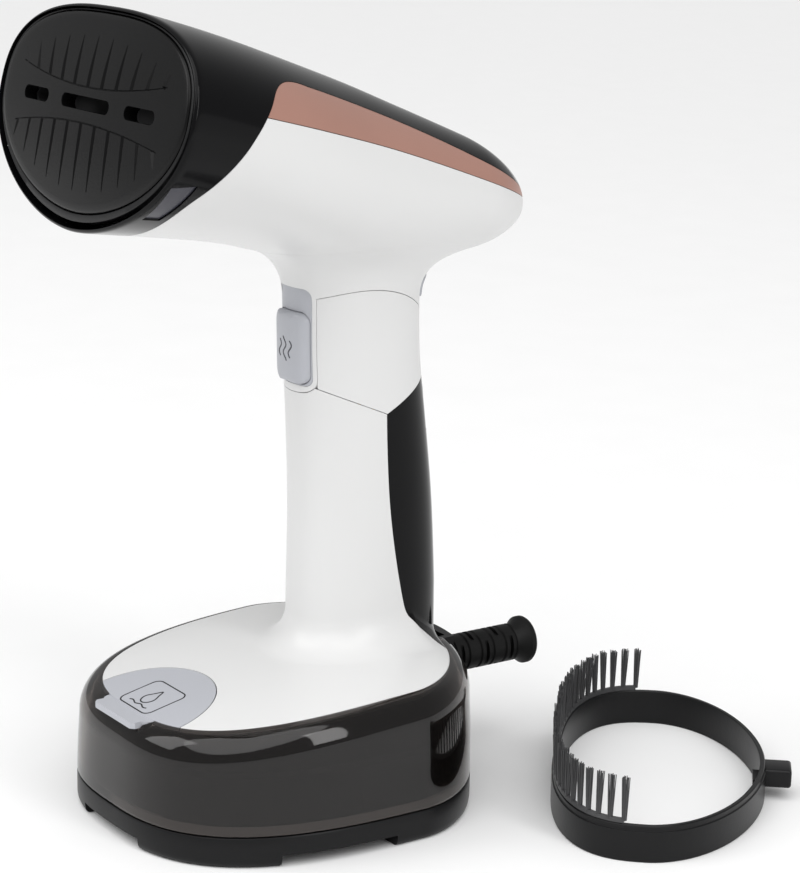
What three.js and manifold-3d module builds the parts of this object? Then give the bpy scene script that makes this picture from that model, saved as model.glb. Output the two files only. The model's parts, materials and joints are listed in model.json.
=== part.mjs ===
// Foldable garment steamer with its clip-on brush ring. Millimetres, +Z up.
// The steamer's front (the steam plate) faces -Y, its plane of symmetry is x = 0, and it stands on z = 0.
import * as THREE from 'three';
import Module from 'manifold-3d';
import { mergeVertices } from 'three/addons/utils/BufferGeometryUtils.js';

const wasm = await Module();
wasm.setup();

// ---------- driving dimensions ----------
const GAP = 0.3;
const WALL = 2.2;
const AROUND = 32;

const base = {
  halfWidth: 55.4,
  frontReach: 78,
  rearReach: 42,
  widestY: -24,
  frontPower: 2.8,
  rearPower: 1.8,
};
const footHeight = 9.8;
const notchHeight = 3.6;
const rimInset = 7.3;
const tankFloor = 12.4;
const coverZ = 26.5;
const deckCrown = 3;

const hinge = { y: -20, z: 123, pinRadius: 2.2 };
const drum = { radius: 24, halfWidth: 9.2, coreRadius: 11.4 };
const slotHalfWidth = 9.8;
const tongue = { halfWidth: 9.5, bottomZ: 128.6, cornerZ: 131.4 };
const key = { halfWidth: 7.7, bottomZ: 131.6, topZ: 153.3, proud: 2.3 };
const keyFrame = { halfWidth: 8.3, bottomZ: 131, topZ: 160.6, depth: 4.4 };
const release = { halfWidth: 7.5, bottomZ: 154.6, topZ: 161.4, proud: 0.9 };

const plateTilt = THREE.MathUtils.degToRad(12.5);
const plate = { halfWidth: 53.6, up: 25.7, down: 30.2, y: -105.6, z: 218.1, thickness: 3, dome: 1.5 };
const steamSlots = [[-30.4, 16], [0, 28], [30.4, 16]];
const steamSlotHeight = 3.9;

const gland = { z: 34, y: 11.9, radius: 6.1, flangeRadius: 7.8, length: 41.6, bore: 3.4 };
const flap = { radius: 24, centreY: -92, axisY: -70.5, axisDepth: 1.3, mouthY: -82, mouthRadius: 7.3 };
const brush = { x: 58.7, y: 60.1, turn: 138.7, height: 11.5, wall: 2, bristle: 15, tufts: 31 };

// ---------- side-view outlines, as smooth curves y -> z or z -> y ----------
function curveThrough(points) {
  const nodes = points.map(([a, b]) => new THREE.Vector2(a, b));
  const spline = new THREE.SplineCurve(nodes);
  const samples = spline.getPoints(80);
  return (a) => {
    let i = 0;
    while (i < samples.length - 2 && samples[i + 1].x < a) i += 1;
    const [p, q] = [samples[i], samples[i + 1]];
    return p.y + ((q.y - p.y) * (a - p.x)) / (q.x - p.x);
  };
}

const headTopLine = curveThrough([
  [-112, 247], [-70, 235.8], [-36, 225.3],
  [-8, 214.5], [18, 204], [46, 192.5],
]);
const headBottomLine = curveThrough([
  [-112, 184], [-70, 177.8], [-46, 171.6],
  [-20, 168], [12, 167.5], [46, 171],
]);
const headMidLine = curveThrough([[-112, 218.8], [-50, 203], [-8, 191], [20, 185.5], [46, 180]]);
const headWidthLine = curveThrough([[-112, 58.6], [-60, 49], [-20, 38.2], [18, 27.2], [46, 17]]);
const trimTopLine = curveThrough([[-80, 229.4], [-57.7, 224.6], [-20, 211.8], [13.9, 197.9], [46, 182.6]]);
const trimBottomLine = curveThrough([[-86, 220.3], [-57.3, 213.3], [-25, 204.6], [12, 192.8], [46, 180.9]]);

const gripFrontLine = curveThrough([
  [30, -37.2], [60, -36.9], [92, -36.5],
  [120, -37.5], [140, -38.5], [158, -38.7],
]);
const gripRearLine = curveThrough([[30, 13.6], [60, 12.6], [90, 10.7], [115, 7.9], [138, 5], [158, 4.3]]);
const gripWidthLine = curveThrough([[30, 17.6], [90, 17.2], [120, 16.8], [158, 17]]);
const panelEdgeLine = curveThrough([
  [38, 14], [46, 4.7], [50, 1], [54, -3],
  [62, -7.6], [95, -13.2], [140, -15],
]);

const neckFrontLine = curveThrough([
  [116, -37.3], [140, -38.5], [157, -38.7], [162, -39.6],
  [166, -42.6], [170, -47.5], [178, -58],
]);
const neckRearLine = curveThrough([
  [116, 7.8], [138, 5], [150, 4.4], [156, 5.2], [160, 7.4],
  [164, 12], [168, 19], [172, 25], [178, 30],
]);
const neckWidthLine = curveThrough([
  [116, 16.8], [150, 17], [157, 17.4], [162, 18.6],
  [166, 20.8], [170, 24], [174, 26.5], [178, 28.5],
]);

const rimZ = (y) => 45.4 + 0.034 * (y + 10) - 0.00061 * (y + 10) ** 2;

// ---------- points and rings ----------
const power = (value, exponent) => Math.sign(value) * Math.abs(value) ** exponent;

// Point of an oval whose front (-Y) and rear (+Y) halves have their own reach and roundness.
function ovalPoint(angle, o, inset = 0) {
  const c = Math.cos(angle);
  const s = Math.sin(angle);
  const n = s < 0 ? o.frontPower : o.rearPower;
  const reach = (s < 0 ? o.frontReach : o.rearReach) - inset;
  return [power(c, 2 / n) * (o.halfWidth - inset), o.widestY + power(s, 2 / n) * reach];
}

const angles = (count) => Array.from({ length: count }, (_, i) => (2 * Math.PI * i) / count);

function footprint(z, inset, count = AROUND) {
  return angles(count).map((a) => {
    const [x, y] = ovalPoint(a, base, inset);
    return new THREE.Vector3(x, y, typeof z === 'function' ? z(y) : z);
  });
}

function gripOval(z, inset) {
  const front = gripFrontLine(z) + inset;
  const rear = gripRearLine(z) - inset;
  const middle = (front + rear) / 2;
  return {
    halfWidth: gripWidthLine(z) - inset,
    frontReach: middle - front,
    rearReach: rear - middle,
    widestY: middle,
    frontPower: 2.25,
    rearPower: 2.25,
  };
}

function gripRing(z, inset) {
  const oval = gripOval(z, inset);
  return angles(AROUND).map((a) => new THREE.Vector3(...ovalPoint(a, oval), z));
}

// Outline of the steam plate and the head's mouth: flat-topped above, round below.
function plateOutline(halfWidth, up, down, count) {
  return angles(count).map((a) => {
    const c = Math.cos(a);
    const s = Math.sin(a);
    const n = s > 0 ? 2.65 : 1.87;
    return new THREE.Vector2(power(c, 2 / n) * halfWidth, power(s, 2 / n) * (s > 0 ? up : down));
  });
}

// One cross-section ring of the head at station s. The sections lean back with the plate at the front.
function headRing(s, inset, swell = 0) {
  const tailStart = 16;
  const tailEnd = 42.5 - inset;
  const t = Math.max(0, (s - tailStart) / (tailEnd - tailStart));
  const close = Math.max(0.02, 1 - t ** 2.2) ** (1 / 2.2);
  const front = THREE.MathUtils.smoothstep(-s, 30, 104);
  const lean = Math.tan(plateTilt) * front;
  const mid = headMidLine(s);
  const up = (headTopLine(s) - mid + swell - inset) * close;
  const down = (mid - headBottomLine(s) + swell - inset) * close;
  const halfWidth = (headWidthLine(s) + swell - inset) * close;
  const upPower = 2.2 + 0.45 * front;
  const downPower = 2.2 - 0.33 * front;
  return angles(AROUND).map((a) => {
    const c = Math.cos(a);
    const sn = Math.sin(a);
    const n = sn > 0 ? upPower : downPower;
    const rise = power(sn, 2 / n) * (sn > 0 ? up : down);
    return new THREE.Vector3(power(c, 2 / n) * halfWidth, s + lean * rise, mid + rise);
  });
}

// ---------- solids ----------
function signedVolume(position, index) {
  const [a, b, c] = [new THREE.Vector3(), new THREE.Vector3(), new THREE.Vector3()];
  let sum = 0;
  for (let i = 0; i < index.length; i += 3) {
    a.fromArray(position, 3 * index[i]);
    b.fromArray(position, 3 * index[i + 1]);
    c.fromArray(position, 3 * index[i + 2]);
    sum += a.dot(b.cross(c));
  }
  return sum;
}

// Closed body through rings with equal point counts. looped joins the last ring to the first.
function loft(rings, looped = false) {
  const n = rings[0].length;
  const position = rings.flat().flatMap((p) => [p.x, p.y, p.z]);
  const index = [];
  const last = looped ? rings.length : rings.length - 1;
  for (let j = 0; j < last; j += 1) {
    const next = (j + 1) % rings.length;
    for (let i = 0; i < n; i += 1) {
      const [p, q] = [j * n + i, j * n + ((i + 1) % n)];
      const [r, t] = [next * n + i, next * n + ((i + 1) % n)];
      index.push(p, q, t, p, t, r);
    }
  }
  if (!looped) {
    [0, rings.length - 1].forEach((j) => {
      const centre = rings[j].reduce((sum, p) => sum.add(p), new THREE.Vector3()).divideScalar(n);
      const hub = position.length / 3;
      position.push(centre.x, centre.y, centre.z);
      for (let i = 0; i < n; i += 1) {
        const [p, q] = [j * n + i, j * n + ((i + 1) % n)];
        index.push(...(j === 0 ? [hub, q, p] : [hub, p, q]));
      }
    });
  }
  if (signedVolume(position, index) < 0) index.reverse();
  const geometry = new THREE.BufferGeometry();
  geometry.setAttribute('position', new THREE.Float32BufferAttribute(position, 3));
  geometry.setIndex(index);
  return solid(geometry);
}

function solid(geometry) {
  const bare = geometry.index ? geometry.toNonIndexed() : geometry.clone();
  const plain = new THREE.BufferGeometry();
  plain.setAttribute('position', bare.getAttribute('position'));
  const merged = mergeVertices(plain, 1e-4);
  const mesh = new wasm.Mesh({
    numProp: 3,
    vertProperties: merged.attributes.position.array,
    triVerts: new Uint32Array(merged.index.array),
  });
  return new wasm.Manifold(mesh);
}

const placed = (geometry, matrix) => solid(geometry.clone().applyMatrix4(matrix));

function shape(points) {
  return new THREE.Shape(points.map((p) => (p.isVector2 ? p : new THREE.Vector2(...p))));
}

function prism(outline, depth, curveSegments = 5) {
  const flat = outline instanceof THREE.Shape ? outline : shape(outline);
  return new THREE.ExtrudeGeometry(flat, { depth, bevelEnabled: false, curveSegments });
}

// Prism of a side-view outline (y, z), from x0 to x1.
function sidePrism(outline, x0, x1) {
  const matrix = new THREE.Matrix4().makeBasis(
    new THREE.Vector3(0, 1, 0),
    new THREE.Vector3(0, 0, 1),
    new THREE.Vector3(1, 0, 0),
  );
  matrix.setPosition(x0, 0, 0);
  return placed(prism(outline, x1 - x0), matrix);
}

// Prism of a plan outline (x, y), from z0 to z1.
function planPrism(outline, z0, z1) {
  return placed(prism(outline, z1 - z0), new THREE.Matrix4().makeTranslation(0, 0, z0));
}

// Body turned about an axis through origin along direction, from a profile of (radius, distance).
function turned(profile, origin, direction, segments = 20) {
  const points = profile.map(([r, h]) => new THREE.Vector2(r, h));
  const up = new THREE.Vector3(0, 1, 0);
  const turn = new THREE.Quaternion().setFromUnitVectors(up, new THREE.Vector3(...direction).normalize());
  const matrix = new THREE.Matrix4().makeRotationFromQuaternion(turn).setPosition(...origin);
  const geometry = new THREE.LatheGeometry(points, segments);
  const made = placed(geometry, matrix);
  return made.volume() > 0 ? made : placed(new THREE.LatheGeometry([...points].reverse(), segments), matrix);
}

const rod = (radius, length, origin, direction, segments) =>
  turned([[0, 0], [radius, 0], [radius, length], [0, length]], origin, direction, segments);

const sleeve = (outer, inner, length, origin, direction, segments) =>
  turned([[inner, 0], [outer, 0], [outer, length], [inner, length], [inner, 0]], origin, direction, segments);

function box(x, y, z, sx, sy, sz) {
  return placed(new THREE.BoxGeometry(sx, sy, sz), new THREE.Matrix4().makeTranslation(x, y, z));
}

// Round wire or hose along a smooth curve through points.
function tube(points, radius, steps, sides = 8) {
  const path = new THREE.CatmullRomCurve3(points.map((p) => new THREE.Vector3(...p)));
  const section = shape(
    angles(sides).map((a) => new THREE.Vector2(radius * Math.cos(a), radius * Math.sin(a))),
  );
  return solid(new THREE.ExtrudeGeometry(section, { extrudePath: path, steps, curveSegments: 1 }));
}

function coil(centre, direction, radius, length, turns, wire) {
  const up = new THREE.Vector3(0, 0, 1);
  const turn = new THREE.Quaternion().setFromUnitVectors(up, new THREE.Vector3(...direction).normalize());
  const points = [];
  const steps = turns * 8;
  for (let i = 0; i <= steps; i += 1) {
    const a = (2 * Math.PI * i) / 8;
    const local = new THREE.Vector3(radius * Math.cos(a), radius * Math.sin(a), (length * i) / steps);
    points.push(local.applyQuaternion(turn).add(new THREE.Vector3(...centre)).toArray());
  }
  return tube(points, wire, steps, 4);
}

const allOf = (...solids) => solids.reduce((sum, next) => sum.add(next));
const less = (body, ...cutters) => cutters.reduce((left, cutter) => left.subtract(cutter), body);

// ---------- nodes ----------
const steamer = new THREE.Group();

// Colour, roughness and metalness of each finish.
const finishes = {
  white: [0xdcdcdc, 0.35, 0],
  glossBlack: [0x141414, 0.15, 0],
  satinBlack: [0x1c1c1c, 0.45, 0],
  keyGrey: [0xa4a5aa, 0.45, 0],
  rose: [0xb38b7f, 0.3, 0.6],
  smoke: [0x312d2c, 0.1, 0],
  plateBlack: [0x2e2e2f, 0.5, 0.2],
  rubber: [0x151515, 0.8, 0],
  steel: [0xb8b8b8, 0.3, 1],
  aluminium: [0x45464a, 0.6, 0.6],
  brass: [0xb5964f, 0.35, 1],
  nylon: [0xd8d4c8, 0.6, 0],
  silicone: [0xe6e2da, 0.55, 0],
  lavender: [0x3c3c46, 0.45, 0],
  bristle: [0x2c2c2c, 0.6, 0],
};

function add(name, body, finish, parent = steamer) {
  const made = body.simplify(0.03).getMesh();
  const geometry = new THREE.BufferGeometry();
  geometry.setAttribute('position', new THREE.Float32BufferAttribute(made.vertProperties, 3));
  geometry.setIndex(new THREE.Uint32BufferAttribute(made.triVerts, 1));
  geometry.computeVertexNormals();
  const [color, roughness, metalness] = finishes[finish];
  const mesh = new THREE.Mesh(geometry, new THREE.MeshStandardMaterial({ color, roughness, metalness }));
  mesh.name = name;
  parent.add(mesh);
  return mesh;
}

// ================= seams =================
// Side-view outlines (y, z) of the pieces, extruded across the whole width and used as cutters.
const wide = (outline) => sidePrism(outline, -70, 70);

function sampled(line, from, to, step, lift) {
  const points = [];
  for (let y = from; y <= to; y += step) points.push([y, line(y) + lift]);
  return points;
}

// Top cover: the collar in front of the raking seam and the spine above the trim.
function coverOutline(grow) {
  const seam = new THREE.Path();
  seam.moveTo(-57.7, 224.6 - grow);
  seam.quadraticCurveTo(-70, 229.4 - grow, -75.2 + grow, 223.6);
  seam.lineTo(-97.8 + grow, 197.2);
  seam.quadraticCurveTo(-102.6 + grow, 191.4, -100.3 + grow, 180);
  const spine = sampled(trimTopLine, -57.7, 52, 21, -grow).reverse();
  const front = seam.getPoints(4).slice(1).map((p) => [p.x, p.y]);
  return [...spine, ...front, [-100, 150], [-140, 150], [-140, 270], [60, 270]];
}

function trimOutline(grow) {
  const lower = sampled(trimBottomLine, -84, 52, 22, -grow);
  return [[-88, 260], ...lower, [60, 260]];
}

// Region under the arc where the neck meets the cheeks; its radius shrinks towards the rear.
function underArcOutline(grow) {
  const arc = [];
  for (let d = 146; d >= 20; d -= 9) {
    const radius = 36.1 + 0.0385 * (d - 56.3) + grow;
    const a = THREE.MathUtils.degToRad(d);
    arc.push([hinge.y + radius * Math.cos(a), hinge.z + radius * Math.sin(a)]);
  }
  return [...arc, [30, 60], [-60, 60]];
}

// Lower edge of the cheeks: the thin seam at the front, the top edge of the rear panel behind it.
const cheekFoot = (y) => (y < -14.5 ? 122 - 0.42 * (y + 14.5) : 122 + 0.52 * (y + 14.5));
function belowCheeks(grow) {
  const seam = [60, -14.5, -120].map((y) => [y, cheekFoot(y) + grow]);
  return [[-120, 20], [60, 20], ...seam];
}


function panelOutline(grow) {
  const edge = [];
  for (let z = 38; z <= 122; z += 12) edge.push([panelEdgeLine(z) - grow, z]);
  return [[60, 28], [60, 160], [panelEdgeLine(122) - grow, 160], ...edge.reverse(), [16 - grow, 28]];
}

// ================= base =================
// Foot: black tray under the tank, notched at the front, the sides and the rear, hollow underneath.
function footBase() {
  const body = loft([footprint(0, 1.6), footprint(1.4, 0.5), footprint(footHeight - GAP, 0)]);
  const pocket = loft([footprint(-1, 9), footprint(notchHeight, 9)]);
  const frontNotch = box(0, -100, 0, 33, 26, 2 * notchHeight);
  const sideNotches = box(0, -53, 0, 160, 37, 2 * notchHeight);
  const rearNotch = box(0, 14, 0, 26, 24, 2 * notchHeight);
  return less(body, pocket, frontNotch, sideNotches, rearNotch);
}

// Anti-slip pads pressed into the tray's underside: x, y and turn of each.
const padSpots = [[-28, -85, 40], [28, -85, -40], [-38, -14, 118], [38, -14, 62]];

function footPad([x, y, turn], grow = 0) {
  const matrix = new THREE.Matrix4().makeRotationZ(THREE.MathUtils.degToRad(turn)).setPosition(x, y, 1.5);
  return placed(new THREE.BoxGeometry(9 + 2 * grow, 3.4 + 2 * grow, 3 + 2 * grow), matrix);
}

// Tank: smoke-clear cup with a rounded shoulder, open at the top, with a recess behind for the cord.
function tankRings(inset, floor, top) {
  const reach = [0, 0.5, 0.9, 1.25, Math.PI / 2];
  const shoulder = reach.map((k) => {
    const height = (y) => rimZ(y) - 9 + 9 * Math.sin(k) + top;
    return footprint(height, inset + 0.8 + (rimInset - 0.8 - 0.86 * inset) * (1 - Math.cos(k)));
  });
  return [footprint(floor, inset + 0.4), footprint(floor + 1.4, inset), ...shoulder];
}

const cordRecess = { halfWidth: 12.6, frontY: 3.6 };
const recessTop = 42.6;
const recessBox = (grow) =>
  box(0, cordRecess.frontY + 20 - grow, 40, 2 * (cordRecess.halfWidth + grow), 40, 80);

function waterTank() {
  const outer = loft(tankRings(0, footHeight, -GAP));
  const rings = tankRings(WALL, tankFloor, -GAP - 1.8);
  const throat = rings.at(-1).map((p) => new THREE.Vector3(p.x, p.y, p.z + 10));
  const recessWall = recessBox(WALL).intersect(box(0, 0, recessTop - 50, 100, 200, 100));
  const inner = loft([...rings, throat]).subtract(recessWall);
  return less(outer, inner, recessBox(0), nibBody(0.6));
}

// Ring that seals the deck to the tank's mouth.
const deckRing = (drop, from, to) =>
  less(skin.translate([0, 0, -drop]).intersect(footPrism(from)), footPrism(to), recessBox(WALL), belowSkin);

// Inner cover that keeps the water down, with holes for the funnel and the pickup tube.
function tankCover() {
  const plateBody = loft([footprint(coverZ, 3.7), footprint(coverZ + 2, 3.7)]);
  const funnelHole = rod(8.9, 10, [0, flap.mouthY, coverZ - 4], [0, 0, 1], 24);
  const pickupHole = rod(3.2, 10, [0, hinge.y, coverZ - 4], [0, 0, 1], 12);
  return less(plateBody, funnelHole, pickupHole, recessBox(WALL + 0.5));
}

const footPrism = (inset) => loft([footprint(20, inset), footprint(60, inset)]);

// ================= deck and handle =================
// One skin: rings run down the grip, out through a fillet, and over the crowned deck to the rim.
function skinRings(inset, topZ, rimAt) {
  const rings = [];
  for (let i = 0; i < 5; i += 1) rings.push(gripRing(topZ - (i * (topZ - 64)) / 4, inset));
  const foot = gripRing(60, inset);
  const rim = foot.map((p) => rimPoint(p, rimAt));
  const onDeck = (p, i, fraction) => {
    const q = foot[i].clone().lerp(rim[i], fraction);
    q.z = rimZ(q.y) + deckCrown * (1 - fraction * fraction) - inset;
    return q;
  };
  const run = foot.map((p, i) => Math.hypot(rim[i].x - p.x, rim[i].y - p.y));
  const radius = foot.map((p, i) => Math.min(11, 0.8 * run[i]));
  [0, 0.12, 0.36, 0.66, 1].forEach((k) => {
    rings.push(foot.map((p, i) => {
      const q = onDeck(p, i, (k * radius[i]) / run[i]);
      q.z += radius[i] * (1 - Math.sqrt(1 - (1 - k) ** 2));
      return q;
    }));
  });
  [0.35, 0.7, 1].forEach((k) => {
    rings.push(foot.map((p, i) => onDeck(p, i, THREE.MathUtils.lerp(radius[i] / run[i], 1, k))));
  });
  return rings;
}

// Point of the rim in the same direction from the grip's centre as p.
function rimPoint(p, rimAt) {
  const centre = { x: 0, y: -12 };
  const [dx, dy] = [p.x - centre.x, p.y - centre.y];
  const inside = (k) => {
    const [x, y] = [centre.x + k * dx, centre.y + k * dy - base.widestY];
    const n = y < 0 ? base.frontPower : base.rearPower;
    const reach = (y < 0 ? base.frontReach : base.rearReach) - rimAt;
    return (Math.abs(x) / (base.halfWidth - rimAt)) ** n + (Math.abs(y) / reach) ** n < 1;
  };
  let [low, high] = [0.5, 12];
  for (let i = 0; i < 40; i += 1) {
    const middle = (low + high) / 2;
    if (inside(middle)) low = middle;
    else high = middle;
  }
  return new THREE.Vector3(centre.x + low * dx, centre.y + low * dy, 0);
}

function skinBody(rimAt) {
  const topZ = 158;
  const outer = skinRings(0, topZ, rimAt);
  const inner = skinRings(WALL, topZ, rimAt);
  return loft([...outer, ...inner.reverse()], true);
}

const skin = skinBody(rimInset + 2 * GAP);
const belowSkin = skin.add(skin.translate([0, 0, -GAP]));

const circle = (radius, cx, cy, count = 30) =>
  angles(count).map((a) => [cx + radius * Math.cos(a), cy + radius * Math.sin(a)]);

// The flap's nib overhangs the tank's shoulder so that a fingertip can lift it.
function nibBody(grow) {
  const [tip, root] = [11.8 + grow, 13.6 + grow];
  const rear = -93.2 + grow;
  const outline = [[-root, rear], [-root, -95], [-tip, -96.6], [-tip, -100.2 - grow], [tip, -100.2 - grow],
    [tip, -96.6], [root, -95], [root, rear]];
  return planPrism(outline, 36 - grow, 37.9 + 3 * grow);
}

const flapZone = (grow) => planPrism(circle(flap.radius + grow, 0, flap.centreY), 30, 60);
const flapAxisZ = rimZ(flap.axisY) + deckCrown * 0.62 - flap.axisDepth;

function fillerFlap() {
  const skinPart = skin.intersect(flapZone(-0.6)).intersect(footPrism(rimInset - 2));
  const pinBore = rod(1.1, 40, [-20, flap.axisY, flapAxisZ], [1, 0, 0], 10);
  return skinPart.add(nibBody(0)).subtract(pinBore);
}

// Seat under the flap: funnel mouth with a spigot through the tank cover.
function fillerSeat() {
  const under = skin.translate([0, 0, -WALL - 0.4]).intersect(flapZone(-1));
  const behind = box(0, -55, 45, 80, 2 * (-55 + 73.8), 60);
  const spigot = rod(8.3, 14, [0, flap.mouthY, 24.5], [0, 0, 1], 24);
  const bore = rod(flap.mouthRadius, 40, [0, flap.mouthY, 20], [0, 0, 1], 24);
  return less(under.intersect(footPrism(12)).add(spigot), behind, bore, belowSkin);
}

function fillerPlug() {
  const profile = [[0, 0], [6, 0], [6.6, 2.4], [0, 2.4]];
  return turned(profile, [0, flap.mouthY, 36.4], [0, 0, 1], 18).subtract(belowSkin);
}

// Bosses that carry the hinge pin, ribbed to the grip's wall.
function hingeBosses() {
  return allOf(...[-1, 1].flatMap((side) => {
    const tubePart = sleeve(5.6, 4.1, 3.3, [side * 10, hinge.y, hinge.z], [side, 0, 0], 16);
    const rib = box(side * 13.9, hinge.y, 113.1, 2.6, 6, 11.6);
    return [tubePart, rib];
  }));
}

const panelCut = wide(panelOutline(0));
const panelCutWide = wide(panelOutline(GAP));
const cheekCut = wide(belowCheeks(0));
const cheekCutLow = wide(belowCheeks(-GAP));
const rearSlot = box(0, 20, 137.1, 2 * slotHalfWidth, 80, 47.8);
const tongueOutline = (grow) => [
  [-tongue.halfWidth - grow, 172],
  [-tongue.halfWidth - grow, tongue.cornerZ - grow],
  [-0.6 * tongue.halfWidth, tongue.bottomZ + 0.5 - grow],
  [0.6 * tongue.halfWidth, tongue.bottomZ + 0.5 - grow],
  [tongue.halfWidth + grow, tongue.cornerZ - grow],
  [tongue.halfWidth + grow, 172],
];

// Prism of a front-view outline (x, z), from y0 back to y1.
function frontPrism(outline, y0, y1) {
  const matrix = new THREE.Matrix4().makeBasis(
    new THREE.Vector3(1, 0, 0),
    new THREE.Vector3(0, 0, 1),
    new THREE.Vector3(0, -1, 0),
  );
  matrix.setPosition(0, y1, 0);
  return placed(prism(outline, y1 - y0), matrix);
}

const tongueCut = frontPrism(tongueOutline(GAP), -60, -22);

function handleShell() {
  const front = skin.intersect(cheekCutLow).subtract(panelCutWide);
  return less(front, tongueCut, flapZone(0), nibBody(GAP), recessBox(0),
    rod(2.4, 27, [-13.5, flap.axisY, flapAxisZ], [1, 0, 0], 16));
}

function rearPanel() {
  const body = skin.intersect(cheekCutLow).intersect(panelCut);
  return less(body, rearSlot, recessBox(0).intersect(box(0, 20, 30, 200, 200, 31.4)));
}

const cheekBand = () => neckOuter.subtract(neckInner).subtract(cheekCut).intersect(wide(underArcOutline(0)));

function cheek(side) {
  const half = box(side * 50, 0, 140, 100 - 2 * slotHalfWidth, 200, 100);
  return less(cheekBand(), tongueCut, rearSlot).intersect(half);
}

// ================= head =================
const headStations = [-105.6, -104.6, -94, -78, -58, -36, -12, 8, 20, 29, 35.5, 40, 42.3];
const hollowStations = [-92, -58, -12, 14, 28, 36, 40];

function headBody(inset) {
  const [mouth, ...others] = headStations;
  return loft([headRing(mouth, inset + 1), ...others.map((s) => headRing(s, inset))]);
}

function headHollow() {
  const rings = hollowStations.map((s) => headRing(s, WALL));
  const mouth = [headRing(-110, 1), headRing(-99.6, 1), headRing(-98.8, WALL)];
  return loft([...mouth, ...rings]);
}

const neckRing = (z, inset) => {
  const front = neckFrontLine(z) + inset;
  const rear = neckRearLine(z) - inset;
  const middle = (front + rear) / 2;
  const oval = {
    halfWidth: neckWidthLine(z) - inset,
    frontReach: middle - front,
    rearReach: rear - middle,
    widestY: middle,
    frontPower: 2.25,
    rearPower: 2.25,
  };
  return angles(AROUND).map((a) => new THREE.Vector3(...ovalPoint(a, oval), z));
};

const neckStations = [118, 140, 152, 157, 161, 165, 169, 174, 178];
const neckBody = (inset) => loft(neckStations.map((z) => neckRing(z, inset)));

const headOuter = headBody(0);
const headInner = headHollow();
const neckOuter = neckBody(0);
const neckInner = neckBody(WALL).add(neckBody(WALL).translate([0, 0, 4]));
const coverWide = wide(coverOutline(GAP));
const trimWide = wide(trimOutline(GAP));
const coverCut = wide(coverOutline(0));

function frontRect(halfWidth, bottomZ, topZ, corner) {
  const s = new THREE.Shape();
  s.moveTo(-halfWidth + corner, bottomZ);
  s.lineTo(halfWidth - corner, bottomZ);
  s.quadraticCurveTo(halfWidth, bottomZ, halfWidth, bottomZ + corner);
  s.lineTo(halfWidth, topZ - corner);
  s.quadraticCurveTo(halfWidth, topZ, halfWidth - corner, topZ);
  s.lineTo(-halfWidth + corner, topZ);
  s.quadraticCurveTo(-halfWidth, topZ, -halfWidth, topZ - corner);
  s.lineTo(-halfWidth, bottomZ + corner);
  s.quadraticCurveTo(-halfWidth, bottomZ, -halfWidth + corner, bottomZ);
  return s;
}

// Rounded window through the neck, as large as the piece that fills it and grown all round.
const windowFor = (piece, grow, corner, y0, y1) =>
  frontPrism(frontRect(piece.halfWidth + grow, piece.bottomZ - grow, piece.topZ + grow, corner), y0, y1);
const frameWindow = (grow) => windowFor(keyFrame, grow, 2.5, -60, -25);
const releaseWindow = (grow) => windowFor(release, grow, 2, -10, 40);

function headShell() {
  const neckSkin = neckOuter.subtract(neckInner);
  const neckPart = neckSkin.subtract(wide(underArcOutline(GAP)));
  const tonguePart = neckSkin.intersect(frontPrism(tongueOutline(0), -60, -24));
  const dome = less(headOuter, coverWide, trimWide);
  const throat = neckInner.intersect(box(0, 0, 160, 200, 200, 60));
  const shell = less(dome.add(neckPart.subtract(trimWide)), headInner, throat);
  const joined = shell.add(tonguePart.intersect(box(0, 0, 145, 100, 100, 40)));
  return less(joined, frameWindow(GAP), releaseWindow(GAP));
}

function headCover() {
  const catches = [-1, 1].map((side) => catchBody(side, GAP));
  return less(headOuter.intersect(coverCut), headInner, ...catches);
}

function trimBand() {
  return less(headOuter.intersect(wide(trimOutline(0))), coverWide, headInner);
}

// Inserts on the collar's underside that the brush ring clips into.
function catchBody(side, grow) {
  const outline = [[-108.2 - grow, 189.5 - grow], [-107.3 - grow, 201 + grow], [-99.6 + grow, 201 + grow],
    [-103.4 + grow, 189.5 - grow]];
  const zone = sidePrism(outline, 35 - grow, 52 + grow);
  return side > 0 ? zone : zone.mirror([1, 0, 0]);
}

const brushCatch = (side) =>
  catchBody(side, 0).intersect(headBody(0.5)).subtract(headHollow()).intersect(coverCut);

// Drum that turns between the cheeks on the hinge pin, with the arm that carries the head.
function hingeDrum() {
  const outline = [];
  for (let d = -20; d <= 75; d += 9.5) {
    const a = THREE.MathUtils.degToRad(d);
    outline.push([hinge.y + drum.radius * Math.cos(a), hinge.z + drum.radius * Math.sin(a)]);
  }
  outline.push([-11, 165], [-28.5, 165], [-28.5, 132]);
  for (let d = 180; d <= 300; d += 20) {
    const a = THREE.MathUtils.degToRad(d);
    outline.push([hinge.y + drum.coreRadius * Math.cos(a), hinge.z + drum.coreRadius * Math.sin(a)]);
  }
  const body = sidePrism(outline, -drum.halfWidth, drum.halfWidth);
  const bore = rod(hinge.pinRadius + GAP, 30, [-15, hinge.y, hinge.z], [1, 0, 0], 16);
  const passage = box(0, -20, 152, 9, 9, 60);
  return less(body, bore, passage);
}

// Piece of the neck's front skin between two depths, inside a front-view outline.
const neckLayer = (outset, inset) => neckBody(-outset).subtract(neckBody(inset));

function steamKey() {
  return neckLayer(key.proud, 0.6).intersect(windowFor(key, 0, 3.2, -60, -25));
}

function keyFrameBody() {
  const pocket = windowFor(key, GAP, 3.4, -60, -25).subtract(neckBody(3.2));
  const plunger = rod(2.4, 30, [0, -50, 142], [0, 1, 0], 12);
  return less(neckLayer(0, keyFrame.depth).intersect(frameWindow(0)), pocket, plunger);
}

function releaseButton() {
  return neckLayer(release.proud, 1.6).intersect(releaseWindow(0));
}

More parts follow.
